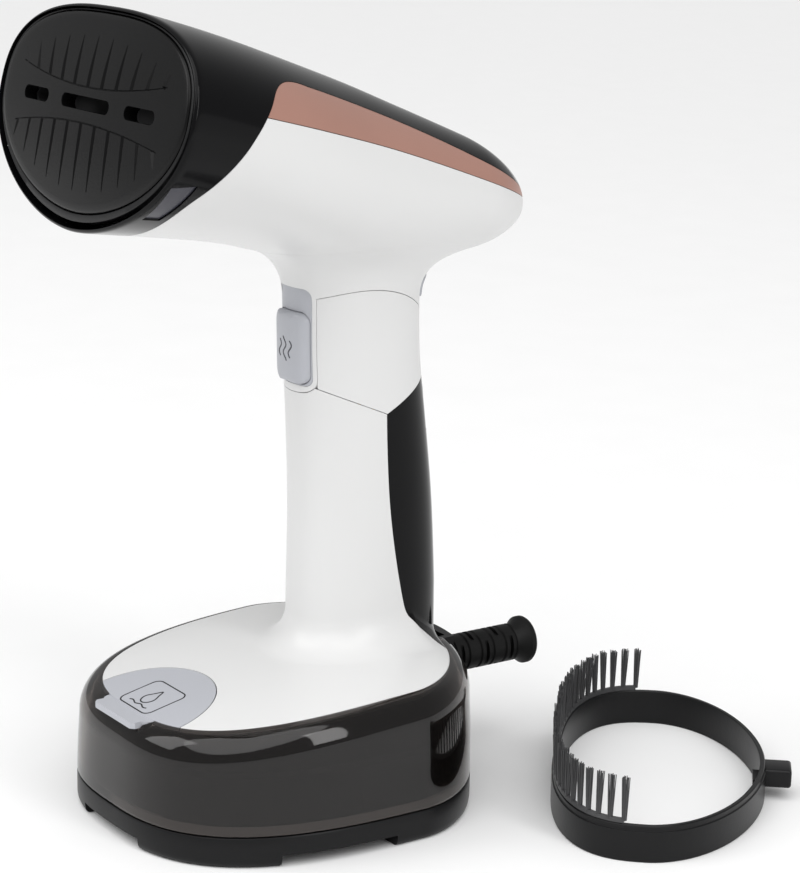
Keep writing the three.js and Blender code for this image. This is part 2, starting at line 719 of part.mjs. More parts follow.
// ================= steam unit: local X across, Y up the plate, Z out of it =================
const steamUnit = new THREE.Group();
steamUnit.position.set(0, plate.y, plate.z);
steamUnit.rotation.x = Math.PI / 2 - plateTilt;
steamer.add(steamUnit);

const flat = (outline, z) => outline.map((p) => new THREE.Vector3(p.x, p.y, z));
function plateLayer(grow, z, scale = 1) {
  const [halfWidth, up, down] = [plate.halfWidth, plate.up, plate.down].map((k) => (k + grow) * scale);
  return flat(plateOutline(halfWidth, up, down, AROUND), z);
}

function slotShape(cx, width, height) {
  const s = new THREE.Shape();
  const [half, r] = [width / 2 - height / 2, height / 2];
  s.moveTo(cx - half, -r);
  s.lineTo(cx + half, -r);
  s.absarc(cx + half, 0, r, -Math.PI / 2, Math.PI / 2, false);
  s.lineTo(cx - half, r);
  s.absarc(cx - half, 0, r, Math.PI / 2, 1.5 * Math.PI, false);
  return s;
}

function steamPlate() {
  const domeAt = (k) => plateLayer(0, plate.dome * (1 - k * k), k);
  const body = loft([plateLayer(-0.4, -plate.thickness), plateLayer(0, -plate.thickness + 0.4),
    plateLayer(0, -0.7), plateLayer(-0.7, 0), ...[0.75, 0.4].map(domeAt)]);
  const slots = steamSlots.map(([cx, width]) => planPrismAt(slotShape(cx, width, steamSlotHeight), -8, 8));
  return less(body, ...slots);
}

const planPrismAt = (outline, z0, z1) =>
  placed(prism(outline, z1 - z0, 4), new THREE.Matrix4().makeTranslation(0, 0, z0));

const dPrism = (halfWidth, up, down, z0, z1) =>
  loft([z0, z1].map((z) => flat(plateOutline(halfWidth, up, down, 28), z)));

const plateBezel = () => less(dPrism(55.1, 26.5, 32.8, -3, -0.6), dPrism(53.9, 26, 30.5, -6, 1));

const plateSeal = () => less(dPrism(50, 24, 28, -5, -3.3), dPrism(46.5, 20.5, 24, -6, 0));

function steamChamber() {
  const block = dPrism(44, 18, 20, -22, -3.4);
  const cavity = dPrism(38, 7, 7, -12, 0);
  const inlet = rod(3, 10, [0, -8, -28], [0, 0, 1], 12);
  return block.subtract(cavity).add(inlet.intersect(box(0, 0, -25.5, 20, 40, 8)));
}

const carrierSpots = [[-46.6, 0], [46.6, 0], [0, 21.6], [0, -25.2]];

function chamberCarrier() {
  const ring = less(dPrism(50, 24.6, 28.6, -10, -6), dPrism(44.3, 18.3, 20.3, -12, 0));
  return less(ring, ...carrierSpots.map(([x, y]) => rod(1.5, 10, [x, y, -13], [0, 0, 1], 10)));
}

const screw = (x, y, z, direction = [0, 0, 1]) =>
  turned([[0, 0], [2.6, 0], [2.6, 1.6], [1.2, 1.6], [1.2, 7], [0, 7]], [x, y, z], direction, 10);

// ================= brush =================
const brushRig = new THREE.Group();
brushRig.position.set(brush.x, brush.y, 0);
brushRig.rotation.z = THREE.MathUtils.degToRad(brush.turn);
steamer.add(brushRig);

const brushOutline = (inset, count = 56) => plateOutline(60.2 - inset, 31 - inset, 36.2 - inset, count);

function brushRing() {
  const outer = loft([flat(brushOutline(0), 0), flat(brushOutline(0), brush.height)]);
  const inner = loft([flat(brushOutline(brush.wall), -1), flat(brushOutline(brush.wall), brush.height + 1)]);
  const tab = box(0, -39.4, 7.2, 10, 9.2, 6);
  const hook = box(0, -33.2, 5.2, 9, 2.4, 2.4);
  return less(outer.add(tab), inner).add(hook);
}

// Tufts stand along the upper half of the ring, joined by the strip that they are planted in.
function brushBristles() {
  const centreLine = (a) => {
    const n = 2.65;
    return [power(Math.cos(a), 2 / n) * 59.2, power(Math.sin(a), 2 / n) * 30];
  };
  const strip = [];
  const tufts = [];
  for (let i = 0; i < brush.tufts; i += 1) {
    const t = i / (brush.tufts - 1);
    const a = THREE.MathUtils.degToRad(8 + 164 * (t + 0.055 * Math.sin(2 * Math.PI * t)));
    strip.push(centreLine(a));
    const [x, y] = centreLine(a);
    tufts.push(turned([[0, 0], [0.75, 0], [1.25, brush.bristle], [0, brush.bristle]],
      [x, y, brush.height + 0.6], [0, 0, 1], 4));
  }
  const path = new THREE.CatmullRomCurve3(strip.map(([x, y]) => new THREE.Vector3(x, y, brush.height + 0.9)));
  const section = shape([[-0.6, -0.9], [0.6, -0.9], [0.6, 0.9], [-0.6, 0.9]]);
  const band = solid(new THREE.ExtrudeGeometry(section, { extrudePath: path, steps: 30, curveSegments: 1 }));
  return allOf(band, ...tufts);
}

// ================= strain relief and inner works =================
function strainRelief() {
  const { radius, flangeRadius, length, bore } = gland;
  const collar = [[7.4, 0], [7.4, 1.6], [4.2, 1.6], [4.2, 5.8]];
  const body = turned([[bore, 0], ...collar, [radius, 5.8], [radius, length - 7], [radius - 0.6, length - 6],
    [flangeRadius, length - 2.4], [flangeRadius, length - 0.6],
    [flangeRadius - 0.6, length], [bore, length], [bore, 0]], [0, gland.y, gland.z], [0, 1, 0], 20);
  const cuts = [];
  for (let i = 0; i < 5; i += 1) {
    const y = gland.y + 12.5 + i * 5;
    const [sx, sz] = i % 2 ? [0, 1] : [1, 0];
    [-1, 1].forEach((side) => {
      cuts.push(box(side * sx * 6.1, y, gland.z + side * sz * 6.1, sx ? 3.6 : 9, 1.2, sz ? 3.6 : 9));
    });
  }
  return less(body, ...cuts);
}

function cordHousing() {
  const outer = loft([footprint(footHeight + 0.3, 0.8), footprint((y) => rimZ(y) - 1.4, 0.8)])
    .intersect(recessBox(-GAP));
  const hollow = box(0, 9.5, 40, 2 * 10, 8.6, 57);
  const glandHole = rod(4.5, 20, [0, 8, gland.z], [0, 1, 0], 18);
  return less(outer, hollow, glandHole, skin.add(skin.translate([0, 0, -1])));
}

const hingePin = () => rod(hinge.pinRadius, 26, [-13, hinge.y, hinge.z], [1, 0, 0], 16);
const hingeBush = (side) => sleeve(3.8, 2.5, 2.8, [side * 10.2, hinge.y, hinge.z], [side, 0, 0], 14);

const pumpBody = () => allOf(
  rod(8.5, 24, [0, hinge.y, 50], [0, 0, 1], 20),
  rod(5, 3, [0, hinge.y, 48], [0, 0, 1], 14),
  rod(2.4, 6, [0, hinge.y, 73], [0, 0, 1], 12),
);

add('foot_base', less(footBase(), ...padSpots.map((spot) => footPad(spot, GAP))), 'satinBlack');
padSpots.forEach((spot, i) => add(`foot_pad_${i + 1}`, footPad(spot), 'rubber'));
add('water_tank', waterTank(), 'smoke');
add('tank_gasket', deckRing(WALL + 0.4, 10, 11.6), 'silicone');
add('tank_cover', tankCover(), 'satinBlack');
add('filler_seat', fillerSeat(), 'keyGrey');
add('filler_flap', fillerFlap(), 'keyGrey');
add('filler_plug', fillerPlug(), 'silicone');
add('flap_pin', rod(0.8, 25.4, [-12.7, flap.axisY, flapAxisZ], [1, 0, 0], 10), 'steel');
add('pickup_tube', sleeve(2.4, 1.4, 33, [0, hinge.y, 14.6], [0, 0, 1], 12), 'nylon');
add('inlet_filter', sleeve(5.4, 2.7, 5, [0, hinge.y, 13], [0, 0, 1], 16), 'nylon');
add('handle_shell', handleShell().add(hingeBosses()), 'white');
add('rear_panel', rearPanel(), 'glossBlack');
add('cheek_left', cheek(-1), 'white');
add('cheek_right', cheek(1), 'white');
add('cord_housing', cordHousing(), 'satinBlack');
add('strain_relief', strainRelief(), 'rubber');
add('cord_clamp', less(box(0, 9, 22, 14, 5, 8), rod(2.4, 20, [0, 9, 22], [0, 1, 0], 10)), 'nylon');
add('pump_body', pumpBody(), 'nylon');
add('water_hose', tube([[0, hinge.y, 79.6], [0, -19, 84], [0, -16.5, 89], [0, -16, 94]], 2.2, 6), 'silicone');
add('hinge_pin', hingePin(), 'steel');
add('hinge_bush_left', hingeBush(-1), 'brass');
add('hinge_bush_right', hingeBush(1), 'brass');
add('head_shell', headShell(), 'white');
add('head_cover', headCover(), 'glossBlack');
add('trim_band', trimBand(), 'rose');
add('brush_catch_left', brushCatch(-1), 'lavender');
add('brush_catch_right', brushCatch(1), 'lavender');
add('hinge_drum', hingeDrum(), 'white');
add('key_frame', keyFrameBody(), 'keyGrey');
add('key_spring', coil([0, -37.3, 142], [0, 1, 0], 3.6, 1.5, 2, 0.3), 'steel');
add('steam_key', steamKey(), 'keyGrey');
add('release_button', releaseButton(), 'keyGrey');
add('release_spring', coil([0, -1.2, 158], [0, 1, 0], 1.8, 2.6, 3, 0.3), 'steel');
add('feed_tube', tube([[0, hinge.y, 170], [0, -22, 186], [0, -40, 206], [0, -73, 213]], 2.6, 12), 'silicone');
add('steam_plate', steamPlate(), 'plateBlack', steamUnit);
add('plate_bezel', plateBezel(), 'satinBlack', steamUnit);
add('plate_seal', plateSeal(), 'silicone', steamUnit);
add('steam_chamber', steamChamber(), 'aluminium', steamUnit);
add('chamber_carrier', chamberCarrier(), 'nylon', steamUnit);
add('thermostat', rod(8, 6, [0, 8, -28.3], [0, 0, 1], 20), 'steel', steamUnit);
add('thermal_fuse', rod(2.5, 16, [14, 6, -25], [1, 0, 0], 10), 'nylon', steamUnit);
carrierSpots.forEach(([x, y], i) => add(`carrier_screw_${i + 1}`, screw(x, y, -12), 'steel', steamUnit));
add('brush_ring', brushRing(), 'satinBlack', brushRig);
add('brush_bristles', brushBristles(), 'bristle', brushRig);

// The origin is the middle of the set's footprint, on the surface that it stands on.
const extent = new THREE.Box3().setFromObject(steamer, true);
steamer.position.set(-(extent.min.x + extent.max.x) / 2, -(extent.min.y + extent.max.y) / 2, 0);
const part = new THREE.Group();
part.add(steamer);

export default part;
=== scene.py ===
"""Foldable garment steamer and its clip-on brush ring, on a pale studio floor.

Shapes are worked out in millimetres in the steamer's own coordinates: the steam plate faces -Y, the plane of
symmetry is x = 0 and it stands on z = 0. They are placed in the row frame from the foot's box.
"""
import json
import math
import random

import bmesh
import bpy
import numpy as np
from mathutils import Matrix, Vector
from mathutils.bvhtree import BVHTree


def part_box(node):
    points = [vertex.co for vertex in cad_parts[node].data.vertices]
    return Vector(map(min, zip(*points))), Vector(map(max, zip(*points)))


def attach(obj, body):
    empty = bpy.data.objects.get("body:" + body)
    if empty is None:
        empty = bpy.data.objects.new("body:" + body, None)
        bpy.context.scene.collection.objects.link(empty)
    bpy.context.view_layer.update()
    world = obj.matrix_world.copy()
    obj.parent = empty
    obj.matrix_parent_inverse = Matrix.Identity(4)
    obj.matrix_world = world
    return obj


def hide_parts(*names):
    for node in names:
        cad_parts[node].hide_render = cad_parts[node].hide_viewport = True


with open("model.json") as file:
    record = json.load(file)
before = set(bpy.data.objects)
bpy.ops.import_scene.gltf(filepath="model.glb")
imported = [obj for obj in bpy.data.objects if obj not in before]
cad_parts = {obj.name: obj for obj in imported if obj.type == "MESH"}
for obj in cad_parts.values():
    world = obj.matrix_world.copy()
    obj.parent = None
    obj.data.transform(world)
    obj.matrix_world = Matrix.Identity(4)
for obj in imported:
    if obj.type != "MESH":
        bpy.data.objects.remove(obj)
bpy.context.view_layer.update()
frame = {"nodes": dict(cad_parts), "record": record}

MM = 0.001
FOOT_FRONT_Y = -102.0
foot_low, foot_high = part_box("foot_base")
OFFSET = np.array([(foot_low.x + foot_high.x) / 2, foot_low.y - FOOT_FRONT_Y * MM, 0.0])


def to_frame(point):
    """A point in the steamer's millimetres, in the row frame in metres."""
    return np.asarray(point, float) * MM + OFFSET


# ---------- driving dimensions: the CAD part's, with small changes for the finer surfaces ----------
GAP = 0.3
SEAM = 0.2
WALL = 2.2
AROUND = 192

BASE = dict(half_width=55.4, front=78.0, rear=42.0, widest_y=-24.0, front_power=2.8, rear_power=1.8)
FOOT_HEIGHT = 9.8
NOTCH_HEIGHT = 3.6
# middle y, width and depth of each notch under the foot
FOOT_NOTCHES = ((-100, 33, 26), (-53, 160, 37), (14, 26, 24))
RIM_INSET = 7.3
TANK_FLOOR = 12.4
TANK_SHOULDER = 9.0
DECK_CROWN = 3.0

HINGE_Y, HINGE_Z = -20.0, 123.0
SLOT_HALF_WIDTH = 9.8
BOSS = dict(radius=5.6, start=10.0, length=3.3, bore=4.1)
TONGUE = dict(half_width=9.5, bottom=128.6, corner=131.4)
KEY = dict(half_width=7.7, bottom=131.6, top=153.3, proud=2.3)
KEY_FRAME = dict(half_width=8.3, bottom=131.0, top=160.6)
RELEASE = dict(half_width=7.5, bottom=154.6, top=161.4, proud=0.9)

PLATE_TILT = math.radians(12.5)
PLATE = dict(half_width=53.6, up=25.7, down=30.2, y=-105.6, z=218.1, thickness=3.0, dome=1.5)
PLATE_SIZES = (PLATE["half_width"], PLATE["up"], PLATE["down"])
PLATE_POWER_UP, PLATE_POWER_DOWN = 2.65, 1.87
STEAM_SLOTS = ((-30.4, 16.0), (0.0, 28.0), (30.4, 16.0))
STEAM_SLOT_HEIGHT = 3.9

GLAND = dict(y=11.9, z=34.0, radius=6.1, flange=7.8, length=41.6, bore=3.4)
FLAP = dict(radius=24.0, centre_y=-92.0)
BRUSH = dict(x=58.7, y=60.1, turn=math.radians(138.7), height=11.5, wall=2.0, bristle=14.6, tufts=31)
BRUSH_SIZES = (60.1, 30.9, 36.1)


# ---------- smooth outlines ----------
def line_through(points):
    """Smooth curve through points, as a function of the first coordinate."""
    nodes = np.array(points, float)
    last = len(nodes) - 1
    where = np.linspace(0, last, 400)
    i = np.minimum(where.astype(int), last - 1)
    t = (where - i)[:, None]
    p0, p1 = nodes[np.maximum(i - 1, 0)], nodes[i]
    p2, p3 = nodes[i + 1], nodes[np.minimum(i + 2, last)]
    v0, v1 = (p2 - p0) / 2, (p3 - p1) / 2
    curve = (2 * p1 - 2 * p2 + v0 + v1) * t**3 + (-3 * p1 + 3 * p2 - 2 * v0 - v1) * t**2 + v0 * t + p1
    return lambda a: np.interp(a, curve[:, 0], curve[:, 1])


head_top = line_through([(-112, 247), (-70, 235.8), (-36, 225.3), (-8, 214.5), (18, 204), (46, 192.5)])
head_bottom = line_through([(-112, 184), (-70, 177.8), (-46, 171.6), (-20, 168), (12, 167.5), (46, 171)])
head_middle = line_through([(-112, 218.8), (-50, 203), (-8, 191), (20, 185.5), (46, 180)])
head_width = line_through([(-112, 58.6), (-60, 49), (-20, 38.2), (18, 27.2), (46, 17)])
trim_top = line_through([(-80, 229.4), (-57.7, 224.6), (-20, 211.8), (13.9, 197.9), (46, 182.6)])
trim_bottom = line_through([(-86, 220.3), (-57.3, 213.3), (-25, 204.6), (12, 192.8), (46, 180.9)])
grip_front = line_through([(30, -37.2), (60, -36.9), (92, -36.5), (120, -37.5), (140, -38.5), (158, -38.7)])
grip_rear = line_through([(30, 13.6), (60, 12.6), (90, 10.7), (115, 7.9), (138, 5), (158, 4.3)])
grip_width = line_through([(30, 17.6), (90, 17.2), (120, 16.8), (158, 17)])
panel_edge = line_through([(38, 14), (46, 4.7), (50, 1), (54, -3), (62, -7.6), (95, -13.2), (140, -15)])


def rim_z(y):
    return 45.4 + 0.034 * (y + 10) - 0.00061 * (y + 10) ** 2


def signed_power(value, exponent):
    return np.sign(value) * np.abs(value) ** exponent


def angles(count=AROUND):
    return np.linspace(0, 2 * math.pi, count, endpoint=False)


def oval(a, half_width, front, rear, widest_y, front_power, rear_power, inset=0.0):
    """Points of an oval whose front and rear halves have their own reach and roundness."""
    c, s = np.cos(a), np.sin(a)
    n = np.where(s < 0, front_power, rear_power)
    reach = np.where(s < 0, front, rear) - inset
    x = signed_power(c, 2 / n) * (half_width - inset)
    return x, widest_y + signed_power(s, 2 / n) * reach


def footprint(height, inset, count=AROUND):
    """Ring of the base's outline. height is a number or a function of y."""
    x, y = oval(angles(count), inset=inset, **BASE)
    z = height(y) if callable(height) else np.full_like(x, height)
    return np.stack([x, y, z], 1)


GRIP_POWER = 2.25


def grip_ring(z, inset, count=AROUND):
    front, rear = grip_front(z) + inset, grip_rear(z) - inset
    middle = (front + rear) / 2
    width = grip_width(z) - inset
    x, y = oval(angles(count), width, middle - front, rear - middle, middle, GRIP_POWER, GRIP_POWER)
    return np.stack([x, y, np.full_like(x, z)], 1)


def plate_outline(half_width, up, down, count=AROUND):
    """Outline of the steam plate: flat-topped above, round below."""
    a = angles(count)
    c, s = np.cos(a), np.sin(a)
    n = np.where(s > 0, PLATE_POWER_UP, PLATE_POWER_DOWN)
    x = signed_power(c, 2 / n) * half_width
    y = signed_power(s, 2 / n) * np.where(s > 0, up, down)
    return np.stack([x, y], 1)


TAIL_START, TAIL_END = 16.0, 42.5


def head_section(s, inset):
    """Sizes of the head's cross-section at station s."""
    t = np.maximum(0, (s - TAIL_START) / (TAIL_END - inset - TAIL_START))
    close = np.maximum(1e-4, 1 - np.minimum(t, 1) ** 2.2) ** (1 / 2.2)
    blend = np.clip((-s - 30) / 74, 0, 1)
    front = blend * blend * (3 - 2 * blend)
    middle = head_middle(s)
    up = (head_top(s) - middle - inset) * close
    down = (middle - head_bottom(s) - inset) * close
    width = (head_width(s) - inset) * close
    return middle, up, down, width, front


def head_ring(s, inset, count=AROUND):
    middle, up, down, width, front = head_section(s, inset)
    a = angles(count)
    c, sn = np.cos(a), np.sin(a)
    n = np.where(sn > 0, 2.2 + 0.45 * front, 2.2 - 0.33 * front)
    rise = signed_power(sn, 2 / n) * np.where(sn > 0, up, down)
    x = signed_power(c, 2 / n) * width
    y = s + math.tan(PLATE_TILT) * front * rise
    return np.stack([x, y, middle + rise], 1)


def head_underside(x, y):
    """Height of the head's lower surface above the plan point (x, y)."""
    s = y
    for _ in range(6):
        middle, _, down, width, front = head_section(s, 0.0)
        n = 2.2 - 0.33 * front
        rise = -down * np.maximum(0, 1 - np.minimum(1, np.abs(x) / width) ** n) ** (1 / n)
        s = y - math.tan(PLATE_TILT) * front * rise
    return middle + rise


# ---------- meshes ----------
def loft(rings, looped=False):
    """Vertices and faces of a closed body through rings with equal point counts."""
    rings = np.array(rings)
    m, n = rings.shape[:2]
    verts = rings.reshape(-1, 3)
    faces = []
    for j in range(m if looped else m - 1):
        k = (j + 1) % m
        for i in range(n):
            i2 = (i + 1) % n
            faces.append((j * n + i, j * n + i2, k * n + i2, k * n + i))
    if not looped:
        faces.append(tuple(reversed(range(n))))
        faces.append(tuple((m - 1) * n + i for i in range(n)))
    return verts, faces


def prism(outline, low, high, axes):
    """Straight body of an outline. axes maps (u, v, w) to x, y, z, and w runs from low to high."""
    outline = np.array(outline, float)
    n = len(outline)
    flat = np.concatenate([np.c_[outline, np.full(n, low)], np.c_[outline, np.full(n, high)]])
    verts = flat[:, axes]
    faces = [(i, (i + 1) % n, n + (i + 1) % n, n + i) for i in range(n)]
    faces += [tuple(reversed(range(n))), tuple(range(n, 2 * n))]
    return verts, faces


def side_prism(outline, x0=-70, x1=70):
    return prism(outline, x0, x1, [2, 0, 1])


def plan_prism(outline, z0, z1):
    return prism(outline, z0, z1, [0, 1, 2])


def front_prism(outline, y0, y1):
    return prism(outline, y0, y1, [0, 2, 1])


def box(x, y, z, sx, sy, sz):
    """Box about its centre, from its full sizes."""
    left, right, front, rear = x - sx / 2, x + sx / 2, y - sy / 2, y + sy / 2
    outline = [(left, front), (right, front), (right, rear), (left, rear)]
    return plan_prism(outline, z - sz / 2, z + sz / 2)


def turned(profile, origin, axis, count=48):
    """Closed body turned about an axis, from a closed profile of (radius, distance)."""
    turn = Vector((0, 0, 1)).rotation_difference(Vector(axis)).to_matrix()
    a = angles(count)
    rings = [np.stack([r * np.cos(a), r * np.sin(a), np.full_like(a, h)], 1) for r, h in profile]
    verts, faces = loft(rings, looped=True)
    return verts @ np.array(turn).T + np.array(origin, float), faces


def rod(radius, length, origin, axis, count=32):
    turn = Vector((0, 0, 1)).rotation_difference(Vector(axis)).to_matrix()
    a = angles(count)
    rings = [np.stack([radius * np.cos(a), radius * np.sin(a), np.full_like(a, h)], 1) for h in (0, length)]
    verts, faces = loft(rings)
    return verts @ np.array(turn).T + np.array(origin, float), faces


def together(*bodies):
    """Several bodies as one set of vertices and faces."""
    verts, faces, start = [], [], 0
    for v, f in bodies:
        verts.append(np.asarray(v, float))
        faces += [tuple(i + start for i in face) for face in f]
        start += len(v)
    return np.concatenate(verts), faces


def raw_object(name, body):
    verts, faces = body
    mesh = bpy.data.meshes.new(name)
    mesh.from_pydata(to_frame(verts).tolist(), [], faces)
    edit = bmesh.new()
    edit.from_mesh(mesh)
    bmesh.ops.recalc_face_normals(edit, faces=edit.faces)
    edit.to_mesh(mesh)
    edit.free()
    obj = bpy.data.objects.new(name, mesh)
    bpy.context.scene.collection.objects.link(obj)
    return obj


def carve(obj, operation, *bodies):
    """Cuts, joins or keeps the common part of obj and each body in turn."""
    for body in bodies:
        tool = body if isinstance(body, bpy.types.Object) else raw_object("cutter", body)
        modifier = obj.modifiers.new("carve", "BOOLEAN")
        modifier.operation = operation
        modifier.solver = "MANIFOLD"
        modifier.object = tool
        bpy.context.view_layer.update()
        result = bpy.data.meshes.new_from_object(obj.evaluated_get(bpy.context.evaluated_depsgraph_get()))
        obj.modifiers.clear()
        obj.data = result
        if not isinstance(body, bpy.types.Object):
            bpy.data.objects.remove(tool)
    return obj


def copy_of(obj, name):
    twin = bpy.data.objects.new(name, obj.data.copy())
    bpy.context.scene.collection.objects.link(twin)
    return twin


def smooth(obj, sharp_degrees=32.0):
    """Smooth shading with the real corners kept sharp."""
    edit = bmesh.new()
    edit.from_mesh(obj.data)
    bmesh.ops.remove_doubles(edit, verts=edit.verts, dist=1e-7)
    bmesh.ops.dissolve_degenerate(edit, edges=edit.edges, dist=1e-7)
    limit = math.radians(sharp_degrees)
    for face in edit.faces:
        face.smooth = True
    for edge in edit.edges:
        edge.smooth = len(edge.link_faces) == 2 and edge.calc_face_angle(0) < limit
    edit.to_mesh(obj.data)
    edit.free()
    return obj


def soften(obj, width, segments=2, degrees=35.0):
    """Rounds the corners of a piece by a real bevel."""
    modifier = obj.modifiers.new("edge_round", "BEVEL")
    modifier.width = width * MM
    modifier.segments = segments
    modifier.limit_method = "ANGLE"
    modifier.angle_limit = math.radians(degrees)
    modifier.harden_normals = False
    return obj


def piece(obj, body, slot, *nodes):
    """Finishes a piece: its look, its body and the CAD nodes that it stands for."""
    smooth(obj)
    obj.data.materials.clear()
    obj.data.materials.append(LOOKS[slot])
    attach(obj, body)
    if nodes:
        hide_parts(*nodes)
    return obj


# ---------- looks ----------
def look(name, color, roughness, metallic=0.0, grain=0.0, grain_scale=900.0, variation=0.03, **sockets):
    """Moulded or coated surface: slight colour and gloss variation and a fine grain in the bump."""
    material = bpy.data.materials.new(name)
    material.use_nodes = True
    nodes, links = material.node_tree.nodes, material.node_tree.links
    shader = nodes["Principled BSDF"]
    shader.inputs["Metallic"].default_value = metallic
    for socket, value in sockets.items():
        shader.inputs[socket.replace("_", " ").title().replace("Ior", "IOR")].default_value = value
    place = nodes.new("ShaderNodeTexCoord")
    broad = nodes.new("ShaderNodeTexNoise")
    broad.inputs["Scale"].default_value = 28.0
    broad.inputs["Detail"].default_value = 5.0
    links.new(place.outputs["Object"], broad.inputs["Vector"])
    tint = nodes.new("ShaderNodeValToRGB")
    tint.color_ramp.elements[0].position = 0.3
    tint.color_ramp.elements[1].position = 0.7
    tint.color_ramp.elements[0].color = [c * (1 - variation) for c in color] + [1]
    tint.color_ramp.elements[1].color = [min(1, c * (1 + variation)) for c in color] + [1]
    links.new(broad.outputs["Fac"], tint.inputs["Fac"])
    links.new(tint.outputs["Color"], shader.inputs["Base Color"])
    fine = nodes.new("ShaderNodeTexNoise")
    fine.inputs["Scale"].default_value = grain_scale
    fine.inputs["Detail"].default_value = 3.0
    links.new(place.outputs["Object"], fine.inputs["Vector"])
    gloss = nodes.new("ShaderNodeMapRange")
    gloss.inputs["To Min"].default_value = max(0.02, roughness * 0.88)
    gloss.inputs["To Max"].default_value = min(1.0, roughness * 1.12)
    links.new(broad.outputs["Fac"], gloss.inputs["Value"])
    links.new(gloss.outputs["Result"], shader.inputs["Roughness"])
    if grain:
        bump = nodes.new("ShaderNodeBump")
        bump.inputs["Strength"].default_value = grain
        bump.inputs["Distance"].default_value = 0.05 * MM
        links.new(fine.outputs["Fac"], bump.inputs["Height"])
        links.new(bump.outputs["Normal"], shader.inputs["Normal"])
    return material


LOOKS = {
    "white": look("white_abs", (0.70, 0.70, 0.697), 0.34, grain=0.12, variation=0.006),
    "gloss_black": look("gloss_black_abs", (0.003, 0.003, 0.0034), 0.13, variation=0.1,
                        specular_ior_level=0.13),
    "satin_black": look("satin_black_abs", (0.0055, 0.0055, 0.006), 0.34, grain=0.5, variation=0.12,
                        specular_ior_level=0.22),
    "key_grey": look("key_grey_abs", (0.43, 0.44, 0.475), 0.4, grain=0.4, variation=0.012),
    "rose": look("rose_paint", (0.44, 0.235, 0.185), 0.38, metallic=0.3, grain=0.3, grain_scale=2600.0,
                 variation=0.03),
    "plate_black": look("plate_coating", (0.004, 0.004, 0.0042), 0.24, grain=0.3, grain_scale=1800.0,
                        variation=0.15, specular_ior_level=0.17),
    "rubber": look("rubber", (0.0035, 0.0035, 0.0035), 0.5, grain=0.7, variation=0.15,
                   specular_ior_level=0.2),
    "steel": look("steel", (0.56, 0.56, 0.57), 0.28, metallic=1.0, grain=0.3, variation=0.04),
    "aluminium": look("cast_aluminium", (0.06, 0.06, 0.062), 0.6, metallic=0.6, grain=1.0, variation=0.08),
    "brass": look("brass", (0.62, 0.42, 0.16), 0.3, metallic=1.0, grain=0.3, variation=0.05),
    "nylon": look("natural_nylon", (0.66, 0.63, 0.56), 0.5, grain=0.4, variation=0.02),
    "silicone": look("silicone", (0.62, 0.60, 0.56), 0.5, grain=0.3, variation=0.02),
    "dark_violet_grey": look("violet_grey_abs", (0.03, 0.03, 0.042), 0.3, grain=0.3, variation=0.05),
    "bristle": look("bristle_nylon", (0.045, 0.045, 0.047), 0.4, grain=0.2, variation=0.2),
    "smoke": look("smoke_clear", (0.085, 0.07, 0.063), 0.05, variation=0.04, transmission_weight=0.97,
                  ior=1.45, specular_ior_level=0.06),
}

for name, node in frame["nodes"].items():
    row = next(entry for entry in frame["record"]["subparts"] if entry["node"] == name)
    node.data.materials.clear()
    node.data.materials.append(LOOKS[row["material_slot"]])
    for polygon in node.data.polygons:
        polygon.use_smooth = True
    node.data.set_sharp_from_angle(angle=math.radians(35))


# ---------- seams ----------
def quadratic(a, b, c, count):
    t = np.linspace(0, 1, count)[:, None]
    a, b, c = (np.array(p, float) for p in (a, b, c))
    return (1 - t) ** 2 * a + 2 * t * (1 - t) * b + t * t * c


def sampled(line, start, end, lift, count=60):
    y = np.linspace(start, end, count)
    return np.stack([y, line(y) + lift], 1)


def cover_outline(grow):
    """Collar in front of the raking seam, and the spine above the trim."""
    spine = sampled(trim_top, -57.7, 52, -grow)[::-1]
    corner = quadratic((-57.7, 224.6 - grow), (-70, 229.4 - grow), (-75.2 + grow, 223.6), 16)
    rake = quadratic((-97.8 + grow, 197.2), (-102.6 + grow, 191.4), (-100.3 + grow, 180), 16)
    rest = np.array([(-100, 150), (-140, 150), (-140, 270), (60, 270)], float)
    return np.concatenate([spine, corner[1:], rake, rest])


def trim_outline(grow):
    return np.concatenate([[(-88, 260)], sampled(trim_bottom, -84, 52, -grow), [(60, 260)]])


def under_arc_outline(grow):
    degrees = np.linspace(146, 20, 64)
    radius = 36.1 + 0.0385 * (degrees - 56.3) + grow
    a = np.radians(degrees)
    arc = np.stack([HINGE_Y + radius * np.cos(a), HINGE_Z + radius * np.sin(a)], 1)
    return np.concatenate([arc, [(30, 60), (-60, 60)]])


def below_cheeks(grow):
    seam = [(60, 122 + 0.52 * 74.5 + grow), (-14.5, 122 + grow), (-120, 122 + 0.42 * 105.5 + grow)]
    return np.array([(-120, 20), (60, 20)] + seam)


def panel_outline(grow):
    z = np.linspace(122, 38, 60)
    edge = np.stack([panel_edge(z) - grow, z], 1)
    return np.concatenate([[(60, 28), (60, 160), (panel_edge(122.0) - grow, 160)], edge, [(16 - grow, 28)]])


def rounded(half_width, bottom, top, corner, grow=0.0):
    """Rectangle with round corners, in a front view."""
    half_width, bottom, top = half_width + grow, bottom - grow, top + grow
    points = []
    inner, low, high = half_width - corner, bottom + corner, top - corner
    for cx, cz, start in ((inner, low, -90), (inner, high, 0), (-inner, high, 90), (-inner, low, 180)):
        for degrees in range(start, start + 91, 10):
            a = math.radians(degrees)
            points.append((cx + corner * math.cos(a), cz + corner * math.sin(a)))
    return points


